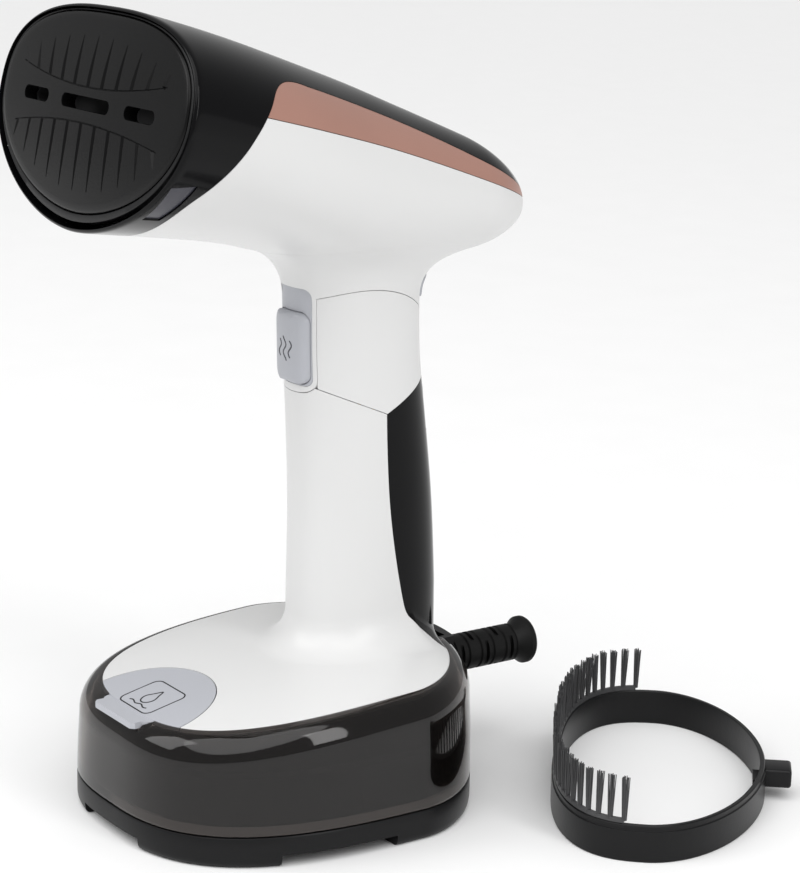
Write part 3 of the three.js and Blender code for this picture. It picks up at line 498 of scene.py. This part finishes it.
def tongue_outline(grow):
    w, corner, bottom = TONGUE["half_width"] + grow, TONGUE["corner"] - grow, TONGUE["bottom"] - grow
    right = quadratic((w, corner + 2), (w, corner - 1.4), (0.55 * w, bottom + 0.4), 14)
    bow = quadratic((0.55 * w, bottom + 0.4), (0, bottom - 0.3), (-0.55 * w, bottom + 0.4), 14)
    left = (right * [-1, 1])[::-1]
    return np.concatenate([[(w, 172)], right, bow[1:-1], left, [(-w, 172)]])


FRONT_OF_NECK = (-60, -25)
REAR_OF_NECK = (-10, 40)


def window(part, corner, depth, grow=0.0):
    """Cutter through the neck's front or rear wall, with the outline of the part that sits there."""
    return front_prism(rounded(part["half_width"], part["bottom"], part["top"], corner, grow), *depth)


# the slot at the rear that the drum turns in, and the recess that the cord's housing fills
HINGE_SLOT = box(0, 20, 137.1, 2 * SLOT_HALF_WIDTH, 80, 47.8)
CORD_RECESS = box(0, 23.6, 40, 25.2, 40, 80)


# ---------- base ----------
def foot_base():
    edge = [(0, 1.8), (0.25, 1.1), (0.8, 0.5), (1.6, 0.15), (2.6, 0),
            (FOOT_HEIGHT - 0.9, 0), (FOOT_HEIGHT - 0.4, 0.25), (FOOT_HEIGHT - 0.3, 0.6)]
    obj = raw_object("foot_tray", loft([footprint(z, inset) for z, inset in edge]))
    pocket = loft([footprint(-1, 9), footprint(NOTCH_HEIGHT, 9)])
    notches = [box(0, y, 0, width, depth, 2 * NOTCH_HEIGHT) for y, width, depth in FOOT_NOTCHES]
    carve(obj, "DIFFERENCE", pocket, *notches)
    soften(obj, 0.35)
    return piece(obj, "stand", "satin_black", "foot_base")


def tank_rings(inset, floor, top):
    """Rings up the tank's wall, over its rounded shoulder and in to the rim."""
    rings = []
    for k in np.linspace(0, 1.57, 5):
        rings.append(footprint(floor + (1 - math.cos(k)) * 1.2, inset + 0.5 - 0.5 * math.sin(k)))
    narrowing = RIM_INSET - 0.8 - 0.86 * inset
    rings.append(footprint(lambda y: rim_z(y) - 20 + top, inset + 0.2))
    for k in np.linspace(0, math.pi / 2, 22):
        rings.append(footprint(lambda y: rim_z(y) - TANK_SHOULDER + TANK_SHOULDER * math.sin(k) + top,
                               inset + 0.8 + narrowing * (1 - math.cos(k))))
    return rings


def water_tank():
    obj = raw_object("smoke_tank", loft(tank_rings(0, FOOT_HEIGHT, -0.12)))
    inner = tank_rings(WALL, TANK_FLOOR, -2.1)
    throat = inner[-1] + [0, 0, 10]
    hollow = raw_object("hollow", loft(inner + [throat]))
    carve(hollow, "DIFFERENCE", box(0, 21.4, 0, 29.6, 40, 85.2))
    carve(obj, "DIFFERENCE", hollow, CORD_RECESS, nib_body(0.5))
    bpy.data.objects.remove(hollow)
    return piece(obj, "stand", "smoke", "water_tank")


# ---------- deck, grip and cheeks ----------
def rim_points(foot, rim_at):
    """Where rays from the grip's centre through the foot ring meet the deck's rim."""
    direction = foot[:, :2] - [0, -12]
    low, high = np.full(len(foot), 0.5), np.full(len(foot), 12.0)
    for _ in range(44):
        k = (low + high) / 2
        x, y = k * direction[:, 0], -12 + k * direction[:, 1] - BASE["widest_y"]
        n = np.where(y < 0, BASE["front_power"], BASE["rear_power"])
        reach = np.where(y < 0, BASE["front"], BASE["rear"]) - rim_at
        inside = (np.abs(x) / (BASE["half_width"] - rim_at)) ** n + (np.abs(y) / reach) ** n < 1
        low, high = np.where(inside, k, low), np.where(inside, high, k)
    return np.stack([low * direction[:, 0], -12 + low * direction[:, 1], np.zeros(len(foot))], 1)


def skin_rings(inset, rim_at):
    """Rings down the grip, out through a fillet and over the crowned deck to its rim."""
    rings = [grip_ring(z, inset) for z in np.linspace(158, 64, 40)]
    foot = grip_ring(60, inset)
    rim = rim_points(foot, rim_at)
    run = np.hypot(*(rim - foot)[:, :2].T)
    radius = np.minimum(11, 0.8 * run)

    def on_deck(fraction):
        q = foot + (rim - foot) * fraction[:, None]
        q[:, 2] = rim_z(q[:, 1]) + DECK_CROWN * (1 - fraction**2) - inset
        return q

    for turn in np.linspace(math.pi / 2, 0, 20):
        q = on_deck((1 - math.sin(turn)) * radius / run)
        q[:, 2] += radius * (1 - math.cos(turn))
        rings.append(q)
    for k in np.linspace(0, 1, 22)[1:]:
        rings.append(on_deck(radius / run * (1 - k) + k))
    if inset == 0:
        lip = rings[-1].copy()
        lip[:, 2] -= 0.35
        rings[-1] = on_deck(1 - 0.25 / run)
        rings.append(lip)
    return rings


def skin_body():
    return loft(skin_rings(0, RIM_INSET + 0.12) + skin_rings(WALL, RIM_INSET + 0.12)[::-1], looped=True)


def circle(radius, cx, cy, count=120):
    a = angles(count)
    return np.stack([cx + radius * np.cos(a), cy + radius * np.sin(a)], 1)


def nib_body(grow):
    tip, root, rear = 11.8 + grow, 13.6 + grow, -93.2 + grow
    front = -100.2 - grow
    side = [(root, rear), (root, -94.6), (root - 0.7, -95.9),
            (tip, -96.8), (tip, front + 1.2), (tip - 1.2, front)]
    outline = [(-x, y) for x, y in side] + side[::-1]
    return plan_prism(outline, 36 - grow, 37.9 + 3 * grow)


def flap_zone(grow):
    return plan_prism(circle(FLAP["radius"] + grow, 0, FLAP["centre_y"]), 30, 60)


skin = raw_object("skin", skin_body())
TONGUE_CUT = front_prism(tongue_outline(SEAM), -60, -22)


def handle_shell():
    obj = copy_of(skin, "handle_and_deck")
    carve(obj, "INTERSECT", side_prism(below_cheeks(-SEAM)))
    carve(obj, "DIFFERENCE", side_prism(panel_outline(SEAM)), TONGUE_CUT, flap_zone(0), nib_body(GAP),
          CORD_RECESS)
    start, length = BOSS["start"], BOSS["length"]
    bosses = [rod(BOSS["radius"], length, (x, HINGE_Y, HINGE_Z), (1, 0, 0)) for x in (-start - length, start)]
    ribs = [box(side * 13.9, HINGE_Y, 113.1, 2.6, 6, 11.6) for side in (-1, 1)]
    carve(obj, "UNION", *bosses, *ribs)
    reach = start + length
    carve(obj, "DIFFERENCE", rod(BOSS["bore"], 2 * reach, (-reach, HINGE_Y, HINGE_Z), (1, 0, 0)))
    return piece(obj, "stand", "white", "handle_shell")


def rear_panel():
    obj = copy_of(skin, "rear_cover")
    carve(obj, "INTERSECT", side_prism(below_cheeks(-SEAM)), side_prism(panel_outline(0)))
    carve(obj, "DIFFERENCE", HINGE_SLOT, box(0, 23.6, 10, 25.2, 40, 70))
    return piece(obj, "stand", "gloss_black", "rear_panel")


def cheeks():
    band = raw_object("band", neck_solid())
    carve(band, "DIFFERENCE", neck_solid(WALL), side_prism(below_cheeks(0)))
    carve(band, "INTERSECT", side_prism(under_arc_outline(0)))
    carve(band, "DIFFERENCE", TONGUE_CUT, HINGE_SLOT)
    for side, name in ((-1, "cheek_left"), (1, "cheek_right")):
        obj = copy_of(band, name + "_cover")
        carve(obj, "INTERSECT", box(side * 50, 0, 140, 80.8, 200, 100))
        piece(obj, "stand", "white", name)
    bpy.data.objects.remove(band)


def filler_flap():
    obj = copy_of(skin, "filler_door")
    inside = loft([footprint(20, RIM_INSET - 2), footprint(60, RIM_INSET - 2)])
    carve(obj, "INTERSECT", flap_zone(-0.35), inside)
    carve(obj, "UNION", nib_body(0))
    return piece(obj, "flap", "key_grey", "filler_flap")


# ---------- head ----------
MOUTH = ((-105.6, 1.0), (-105.5, 0.62), (-105.2, 0.28), (-104.6, 0.05))


def head_solid(grow=0.0):
    rings = [head_ring(s, inset + grow) for s, inset in MOUTH]
    rings += [head_ring(s, grow) for s in np.linspace(-103.8, TAIL_START, 90)]
    for t in np.sin(np.linspace(0.06, 1.53, 40)):
        rings.append(head_ring(TAIL_START + t * (TAIL_END - grow - TAIL_START), grow))
    return loft(rings)


def head_hollow():
    rings = [head_ring(-110, 1.0), head_ring(-99.6, 1.0), head_ring(-98.8, WALL)]
    rings += [head_ring(s, WALL) for s in np.linspace(-97, TAIL_START, 60)]
    for t in np.sin(np.linspace(0.1, 1.5, 24)):
        rings.append(head_ring(TAIL_START + t * (TAIL_END - WALL - TAIL_START), WALL))
    return loft(rings)


def neck_ring(z, inset=0.0):
    """Straight part of the neck, in line with the grip."""
    ring = grip_ring(min(z, 157.0), inset)
    ring[:, 2] = z
    return ring


JOIN_OVAL = dict(half_width=27.5, front=35.5, rear=41.0, widest_y=-18.0, front_power=2.1, rear_power=2.1)


def neck_solid(inset=0.0):
    """The neck sweeps up and out until it lies along the head's underside."""
    start = neck_ring(155.5, inset)
    x, y = oval(angles(), **JOIN_OVAL)
    reach = np.stack([x, y], 1)
    outward = reach - start[:, :2]
    run = np.linalg.norm(outward, axis=1)
    outward /= run[:, None]
    end = np.c_[reach, head_underside(x, y) + inset - 0.03]
    back = reach - outward * 0.5
    slope = (head_underside(x, y) - head_underside(back[:, 0], back[:, 1])) / 0.5
    tangent = np.c_[outward, slope]
    rise = end[:, 2] - start[:, 2]
    p1 = start + np.c_[np.zeros((len(x), 2)), 0.62 * rise]
    p2 = end - tangent * (0.55 * run)[:, None]
    rings = [neck_ring(z, inset) for z in np.linspace(118, 155.5, 16)]
    for t in np.linspace(0, 1, 30)[1:]:
        rings.append((1 - t) ** 3 * start + 3 * t * (1 - t) ** 2 * p1 + 3 * t * t * (1 - t) * p2 + t**3 * end)
    centre = end.mean(0)
    for shrink, up in ((0.92, 2.6), (0.6, 6.0)):
        rings.append(centre + (end - centre) * [shrink, shrink, 1] + [0, 0, up])
    return loft(rings)


def head_pieces():
    outer = raw_object("head_outer", head_solid())
    hollow = raw_object("head_hollow", head_hollow())
    cover_cut, cover_wide = side_prism(cover_outline(0)), side_prism(cover_outline(SEAM))
    trim_cut, trim_wide = side_prism(trim_outline(0)), side_prism(trim_outline(SEAM))

    neck = raw_object("neck", neck_solid())
    neck_hollow = raw_object("neck_hollow", neck_solid(WALL))
    tongue = copy_of(neck, "tongue")
    carve(tongue, "DIFFERENCE", neck_hollow)
    carve(tongue, "INTERSECT", front_prism(tongue_outline(0), -60, -24))
    carve(neck, "DIFFERENCE", side_prism(under_arc_outline(SEAM)))

    shell = copy_of(outer, "head_lower_shell")
    carve(shell, "UNION", neck)
    carve(shell, "DIFFERENCE", cover_wide, trim_wide, hollow, neck_hollow)
    carve(shell, "UNION", tongue)
    carve(shell, "DIFFERENCE", window(KEY_FRAME, 2.5, FRONT_OF_NECK, 0.1),
          window(RELEASE, 2.0, REAR_OF_NECK, 0.2))
    piece(shell, "head", "white", "head_shell")

    cover = copy_of(outer, "head_top_cover")
    carve(cover, "INTERSECT", cover_cut)
    carve(cover, "DIFFERENCE", hollow, *[catch_body(side, 0.2) for side in (-1, 1)])
    piece(cover, "head", "gloss_black", "head_cover")

    band = copy_of(outer, "trim_strip")
    carve(band, "INTERSECT", trim_cut)
    carve(band, "DIFFERENCE", cover_wide, hollow)
    piece(band, "head", "rose", "trim_band")

    recessed = raw_object("recessed", head_solid(0.5))
    for side, name in ((-1, "brush_catch_left"), (1, "brush_catch_right")):
        catch = raw_object(name + "_insert", catch_body(side, 0))
        carve(catch, "INTERSECT", recessed)
        carve(catch, "DIFFERENCE", hollow)
        piece(catch, "head", "dark_violet_grey", name)
    for helper in (outer, hollow, neck, neck_hollow, tongue, recessed):
        bpy.data.objects.remove(helper)


def catch_body(side, grow):
    outline = [(-108.2 - grow, 189.5 - grow), (-107.3 - grow, 201 + grow), (-99.6 + grow, 201 + grow),
               (-103.4 + grow, 189.5 - grow)]
    low, high = 35 - grow, 52 + grow
    return side_prism(outline, low, high) if side > 0 else side_prism(outline, -high, -low)


def grip_layer(outset, inset):
    """Skin of the neck between two depths, as one body."""
    outer = [neck_ring(z, -outset) for z in np.linspace(120, 162, 30)]
    inner = [neck_ring(z, inset) for z in np.linspace(120, 162, 30)]
    return loft(outer + inner[::-1], looped=True)


def key_layer(out, inset, scale):
    """Outline of the steam key, drawn in towards its middle, bent to the neck and raised from it."""
    middle = (KEY["bottom"] + KEY["top"]) / 2
    outline = np.array(rounded(KEY["half_width"], KEY["bottom"], KEY["top"], 3.2, -inset))
    x, z = outline[:, 0] * scale, middle + (outline[:, 1] - middle) * scale
    return np.stack([x, grip_front(z) - out + neck_sag(x), z], 1)


def steam_key():
    proud = KEY["proud"]
    inward = (0.85, 0.65, 0.45, 0.25, 0.04)
    rings = [key_layer(-0.6, 0.0, scale) for scale in inward[::-1]]
    rings += [key_layer(-0.6, 0.0, 1), key_layer(proud - 1.0, 0.0, 1), key_layer(proud - 0.4, 0.25, 1),
              key_layer(proud - 0.08, 0.8, 1), key_layer(proud, 1.6, 1)]
    rings += [key_layer(proud, 1.6, scale) for scale in inward]
    return piece(raw_object("steam_key_cap", loft(rings)), "key", "key_grey", "steam_key")


NECK_HALF_DEPTH, NECK_HALF_WIDTH = 22.0, 17.0


def neck_sag(x):
    """How far the neck's front falls back at x from the middle."""
    share = 1 - (np.abs(x) / NECK_HALF_WIDTH) ** GRIP_POWER
    return NECK_HALF_DEPTH * (1 - np.maximum(0, share) ** (1 / GRIP_POWER))


def key_frame():
    obj = raw_object("key_surround", grip_layer(0.0, 4.4))
    carve(obj, "INTERSECT", window(KEY_FRAME, 2.4, FRONT_OF_NECK))
    pocket = raw_object("pocket", window(KEY, 3.4, FRONT_OF_NECK, 0.25))
    carve(pocket, "DIFFERENCE", loft([neck_ring(z, 3.2) for z in np.linspace(120, 162, 12)]))
    carve(obj, "DIFFERENCE", pocket, rod(2.4, 30, (0, -50, 142), (0, 1, 0)))
    bpy.data.objects.remove(pocket)
    return piece(obj, "head", "key_grey", "key_frame")


def release_button():
    obj = raw_object("release_cap", neck_solid(-RELEASE["proud"]))
    inside = raw_object("inside", neck_solid(1.6))
    carve(obj, "INTERSECT", window(RELEASE, 2.0, REAR_OF_NECK))
    carve(obj, "DIFFERENCE", inside)
    bpy.data.objects.remove(inside)
    soften(obj, 0.4)
    return piece(obj, "release", "key_grey", "release_button")


# ---------- steam plate, in its own plane: u across, v up, w outward ----------
PLATE_AXES = np.array([
    (1, 0, 0),
    (0, math.sin(PLATE_TILT), math.cos(PLATE_TILT)),
    (0, -math.cos(PLATE_TILT), math.sin(PLATE_TILT)),
])
PLATE_ORIGIN = np.array([0, PLATE["y"], PLATE["z"]])


def on_plate(body):
    verts, faces = body
    return np.asarray(verts, float) @ PLATE_AXES + PLATE_ORIGIN, faces


def plate_layer(grow, w, scale=1.0, sizes=PLATE_SIZES):
    outline = plate_outline(*[(size + grow) * scale for size in sizes])
    return np.c_[outline, np.full(len(outline), w)]


def groove(start, end, widths, depths):
    """Wedge-shaped cutter for one steam groove, with its own width and depth at each end."""
    start, end = np.array(start), np.array(end)
    side = np.array([-(end - start)[1], (end - start)[0]])
    side = side / np.linalg.norm(side) / 2
    verts = []
    for point, width, depth in zip((start, end), widths, depths):
        bottom, top = plate_crown(point) - depth, 4.0
        flare = 1 + (top - bottom) * 0.9 / depth
        for scale, w in ((0.1, bottom), (flare, top)):
            verts += [(*(point + side * width * scale), w), (*(point - side * width * scale), w)]
    faces = [(0, 1, 3, 2), (5, 4, 6, 7), (1, 0, 4, 5), (2, 3, 7, 6), (0, 2, 6, 4), (3, 1, 5, 7)]
    return np.array(verts), faces


def plate_crown(point):
    """Height of the domed plate at a point of its plane."""
    u, v = point
    v_size, power = (PLATE["up"], PLATE_POWER_UP) if v > 0 else (PLATE["down"], PLATE_POWER_DOWN)
    share = (abs(u) / PLATE["half_width"]) ** power + (abs(v) / v_size) ** power
    return PLATE["dome"] * (1 - share ** (2 / power))


def crease(v_middle, v_bend):
    """Shallow curved groove through the inner ends of a fan of steam grooves."""
    rings = []
    for u in np.linspace(-42, 42, 57):
        v = v_middle + v_bend * (u / 40) ** 2
        bottom, top = plate_crown((u, v)) - 0.32, 2.6
        rings.append([(u, v - 0.05, bottom), (u, v + 0.05, bottom), (u, v + 0.9, top), (u, v - 0.9, top)])
    return loft(rings)


def slot_outline(cx, width, height):
    r = height / 2
    right = [(cx + width / 2 - r + r * math.cos(a), r * math.sin(a)) for a in np.linspace(-1.57, 1.57, 16)]
    left = [(cx - width / 2 + r - r * math.cos(a), -r * math.sin(a)) for a in np.linspace(-1.57, 1.57, 16)]
    return right + left


def steam_plate():
    back, edge = -PLATE["thickness"], 0.9
    rings = [plate_layer(-0.4, back), plate_layer(0, back + 0.4), plate_layer(0, -edge)]
    for k in np.linspace(0.25, 1.45, 7):
        rings.append(plate_layer(-edge * (1 - math.cos(k)), -edge + edge * math.sin(k)))
    rings += [plate_layer(0, PLATE["dome"] * (1 - k * k), k) for k in np.linspace(0.96, 0.06, 24)]
    obj = raw_object("ironing_plate", on_plate(loft(rings)))
    fans = []
    for i in range(11):
        u = -40 + 8 * i
        bend = (u / 40) ** 2
        fans.append(groove((u, 4.6 + 3.8 * bend), (u * 1.06, 19 - 6.6 * bend), (1.5, 0.4), (0.9, 0.16)))
        fans.append(groove((u, -5.4 - 3.0 * bend), (u * 1.04, -24.3 + 11 * bend), (1.4, 0.45), (0.85, 0.18)))
    carve(obj, "DIFFERENCE", on_plate(together(*fans)))
    carve(obj, "DIFFERENCE", on_plate(crease(4.6, 3.8)), on_plate(crease(-5.4, -3.0)))
    slots = [plan_prism(slot_outline(cx, width, STEAM_SLOT_HEIGHT), -8, 8) for cx, width in STEAM_SLOTS]
    carve(obj, "DIFFERENCE", on_plate(together(*slots)))
    return piece(obj, "head", "plate_black", "steam_plate")


def plate_bezel():
    outer, inner = (55.1, 26.5, 32.8), (53.9, 26.0, 30.5)
    section = [(0, -3, outer), (0, -1.1, outer), (-0.15, -0.75, outer), (-0.4, -0.6, outer),
               (0.15, -0.6, inner), (0, -0.75, inner), (0, -3, inner)]
    rings = [plate_layer(grow, w, sizes=sizes) for grow, w, sizes in section]
    obj = raw_object("plate_surround", on_plate(loft(rings, looped=True)))
    return piece(obj, "head", "satin_black", "plate_bezel")


# ---------- cord outlet ----------
def strain_relief():
    r, flange, length, bore = GLAND["radius"], GLAND["flange"], GLAND["length"], GLAND["bore"]
    pitch = 4.9
    profile = [(bore, 0), (7.4, 0), (7.4, 1.6), (4.2, 1.6), (4.2, 5.8), (r - 0.5, 5.8), (r, 6.3)]
    for i in range(6):
        h = 9.4 + i * pitch
        profile += [(r, h), (r - 0.5, h + 0.35), (r - 0.5, h + 0.85), (r, h + 1.2)]
    profile += [(r - 0.2, length - 7), (r - 0.9, length - 6.2), (r - 0.7, length - 5.2)]
    profile += [(flange - 0.5, length - 2.8), (flange, length - 2.2), (flange, length - 0.9)]
    profile += [(flange - 0.4, length - 0.3), (flange - 1.0, length)]
    profile += [(bore + 0.8, length), (bore, length - 0.8)]
    obj = raw_object("cord_relief", turned(profile, (0, GLAND["y"], GLAND["z"]), (0, 1, 0), 64))
    cuts = []
    for i in range(5):
        y = GLAND["y"] + 12.5 + i * pitch
        for side in (-r, r):
            if i % 2 == 0:
                cuts.append(box(side, y, GLAND["z"], 3.0, 1.3, 8.4))
            else:
                cuts.append(box(0, y, GLAND["z"] + side, 8.4, 1.3, 3.0))
    carve(obj, "DIFFERENCE", together(*cuts))
    return piece(obj, "stand", "rubber", "strain_relief")


def cord_housing():
    obj = raw_object("cord_cover", loft([footprint(10.1, 0.8), footprint(lambda y: rim_z(y) - 0.9, 0.8)]))
    carve(obj, "INTERSECT", box(0, 23.9, 40, 24.6, 40, 80))
    carve(obj, "DIFFERENCE", box(0, 9.5, 40, 20, 8.6, 57), rod(4.5, 20, (0, 8, GLAND["z"]), (0, 1, 0)), skin)
    soften(obj, 0.3)
    return piece(obj, "stand", "satin_black", "cord_housing")


# ---------- brush ----------
def on_brush(body):
    verts, faces = body
    c, s = math.cos(BRUSH["turn"]), math.sin(BRUSH["turn"])
    turn = np.array([(c, s, 0), (-s, c, 0), (0, 0, 1)])
    return np.asarray(verts, float) @ turn + [BRUSH["x"], BRUSH["y"], 0], faces


def brush_layer(inset, z):
    outline = plate_outline(*[size - inset for size in BRUSH_SIZES])
    return np.c_[outline, np.full(len(outline), z)]


def brush_ring():
    h, wall = BRUSH["height"], BRUSH["wall"]
    section = [(0.35, 0), (0, 0.35), (0, h - 1.9), (0.4, h - 1.7), (0.4, h - 0.3), (0.7, h),
               (wall - 0.3, h), (wall, h - 0.3), (wall, 0.35), (wall - 0.35, 0)]
    rings = [brush_layer(inset, z) for inset, z in section]
    obj = raw_object("brush_frame", on_brush(loft(rings, looped=True)))
    tab = raw_object("tab", on_brush(box(0, -39.4, 7.2, 10, 9.2, 6)))
    soften(tab, 1.0, 3)
    carve(obj, "UNION", tab, on_brush(box(0, -33.2, 5.2, 9, 2.4, 2.4)))
    bpy.data.objects.remove(tab)
    soften(obj, 0.15, 2, 50)
    return piece(obj, "brush", "satin_black", "brush_ring")


def tuft_place(t):
    """Plan point along the bristled side of the ring."""
    a = math.radians(8 + 164 * (t + 0.055 * math.sin(2 * math.pi * t)))
    n = 2 / PLATE_POWER_UP
    return math.copysign(abs(math.cos(a)) ** n, math.cos(a)) * 59.0, abs(math.sin(a)) ** n * 29.8


def brush_bristles():
    rng = random.Random(7)
    low = BRUSH["height"] + 0.3
    parts = []
    line = np.array([tuft_place(t) for t in np.linspace(0, 1, 120)])
    along = np.gradient(line, axis=0)
    along /= np.linalg.norm(along, axis=1)[:, None]
    side = np.c_[along[:, 1], -along[:, 0]]
    strip = [np.array([(*(p + q * 0.65), low), (*(p - q * 0.65), low), (*(p - q * 0.5), low + 1.3),
                       (*(p + q * 0.5), low + 1.3)]) for p, q in zip(line, side)]
    parts.append(loft(strip))
    for i in range(BRUSH["tufts"]):
        x, y = tuft_place(i / (BRUSH["tufts"] - 1))
        lean = (rng.uniform(-0.35, 0.35), rng.uniform(-0.35, 0.35))
        for j in range(17):
            a = 2.4 * j
            spread = 0.27 * math.sqrt(j)
            root = np.array([x + 0.62 * spread * math.cos(a), y + 0.62 * spread * math.sin(a), low + 0.6])
            tip = np.array([x + spread * 1.12 * math.cos(a) + lean[0] + rng.uniform(-0.15, 0.15),
                            y + spread * 1.12 * math.sin(a) + lean[1] + rng.uniform(-0.15, 0.15),
                            low + BRUSH["bristle"] + rng.uniform(-0.7, 0)])
            ring = circle(0.2, 0, 0, 5)
            flat = np.c_[ring, np.zeros(5)]
            parts.append(loft([root + flat, (root + tip) / 2 + flat * 0.95, tip + flat * 0.7]))
    obj = raw_object("bristle_tufts", on_brush(together(*parts)))
    return piece(obj, "brush", "bristle", "brush_bristles")


# ---------- printed marks: a drop over a water line, and three wavy lines ----------
def ribbon(points, normals, width, proud=0.07, closed=False):
    points, normals = np.array(points, float), np.array(normals, float)
    along = np.roll(points, -1, 0) - np.roll(points, 1, 0) if closed else np.gradient(points, axis=0)
    side = np.cross(along, normals)
    side *= width / 2 / np.linalg.norm(side, axis=1)[:, None]
    rings = [np.array([p + s - n * 0.08, p - s - n * 0.08, p - s + n * proud, p + s + n * proud])
             for p, s, n in zip(points, side, normals)]
    return loft(rings, looped=closed)


def mark(name, bodies, body, slot):
    obj = raw_object(name, together(*bodies))
    return piece(obj, body, slot)


def flap_marks():
    edit = bmesh.new()
    edit.from_mesh(skin.data)
    tree = BVHTree.FromBMesh(edit)
    edit.free()

    def lay(outline, closed):
        points, normals = [], []
        for x, y in outline:
            hit, normal, _, _ = tree.ray_cast(Vector(to_frame((x, y, 80))), Vector((0, 0, -1)))
            points.append((np.array(hit) - OFFSET) / MM)
            normals.append(np.array(normal))
        return ribbon(points, normals, 0.42, closed=closed)

    frame_line = [(x, y - 86.5) for x, y in rounded(8.6, -7.2, 7.2, 2.4)]
    drop = []
    for a in np.linspace(-math.pi / 2, 1.5 * math.pi, 40, endpoint=False):
        pull = 1 + 0.75 * max(0, math.sin(a)) ** 3
        narrow = 1 - 0.5 * max(0, math.sin(a)) ** 2
        drop.append((2.5 * math.cos(a) * narrow, -87.6 + 2.7 * math.sin(a) * pull))
    level = [(x, -91.5 + 0.35 * math.sin(x * 1.3)) for x in np.linspace(-5, 5, 24)]
    mark("flap_mark", [lay(frame_line, True), lay(drop, True), lay(level, False)], "flap", "satin_black")


def key_marks():
    bodies = []
    for x0, height in ((-2.6, 5.2), (0, 7.4), (2.6, 5.2)):
        z = np.linspace(142 - height / 2, 142 + height / 2, 26)
        x = x0 + 0.75 * np.sin((z - 142) * 1.25)
        y = grip_front(z) - KEY["proud"] + neck_sag(x)
        normals = np.tile((0, -1, 0), (len(z), 1))
        bodies.append(ribbon(np.stack([x, y, z], 1), normals, 0.45))
    mark("key_mark", bodies, "key", "dark_violet_grey")


# ---------- build ----------
foot_base()
water_tank()
handle_shell()
rear_panel()
cheeks()
filler_flap()
head_pieces()
steam_key()
key_frame()
release_button()
steam_plate()
plate_bezel()
strain_relief()
cord_housing()
brush_ring()
brush_bristles()
flap_marks()
key_marks()
bpy.data.objects.remove(skin)


# ---------- studio ----------
def camera():
    """The photograph's view, from a camera fitted to the steamer's outline."""
    azimuth, elevation, roll = (math.radians(v) for v in (55.2475, 13.9564, 1.0865))
    distance, shift_right, aim_height = 785.197, 1.5449, 109.5758
    across = math.cos(elevation)
    back = Vector((math.sin(azimuth) * across, -math.cos(azimuth) * across, math.sin(elevation)))
    level = Vector((math.cos(azimuth), math.sin(azimuth), 0))
    upright = back.cross(level)
    place = level * shift_right + Vector((0, 0, aim_height)) + back * distance
    right = level * math.cos(roll) + upright * math.sin(roll)
    up = upright * math.cos(roll) - level * math.sin(roll)
    data = bpy.data.cameras.new("camera")
    data.lens = 103.768
    data.sensor_width = 36
    data.clip_end = 60
    obj = bpy.data.objects.new("camera", data)
    bpy.context.scene.collection.objects.link(obj)
    turn = Matrix((right, up, back)).transposed()
    obj.matrix_world = Matrix.Translation(Vector(to_frame(place))) @ turn.to_4x4()
    bpy.context.scene.camera = obj


def area_light(name, place, aim, size, size_y, power):
    data = bpy.data.lights.new(name, "AREA")
    data.shape = "RECTANGLE"
    data.size, data.size_y, data.energy = size, size_y, power
    obj = bpy.data.objects.new(name, data)
    bpy.context.scene.collection.objects.link(obj)
    obj.location = place
    obj.rotation_euler = (Vector(aim) - Vector(place)).to_track_quat("-Z", "Y").to_euler()


def studio():
    bpy.ops.mesh.primitive_plane_add(size=40)
    floor = bpy.context.object
    floor.name = "floor"
    floor.data.materials.append(look("floor_paint", (0.9, 0.9, 0.9), 0.8, grain=0.05, variation=0.004))
    world = bpy.data.worlds.new("studio")
    world.use_nodes = True
    world.node_tree.nodes["Background"].inputs["Color"].default_value = (1, 1, 1, 1)
    world.node_tree.nodes["Background"].inputs["Strength"].default_value = 0.42
    scene = bpy.context.scene
    scene.world = world
    scene.view_settings.view_transform = "Standard"
    sky = bpy.data.lights.new("overhead_diffuser", "SUN")
    sky.energy = 2.0
    sky.angle = math.radians(70)
    overhead = bpy.data.objects.new("overhead_diffuser", sky)
    scene.collection.objects.link(overhead)
    overhead.rotation_euler = Vector((0.35, -0.45, 1.0)).to_track_quat("Z", "Y").to_euler()
    middle = (0.0, 0.0, 0.12)
    area_light("key_softbox", (-0.55, -1.1, 0.95), middle, 0.7, 0.9, 5.5)
    area_light("side_softbox", (1.15, 0.15, 0.75), middle, 0.3, 1.0, 4.5)


camera()
studio()
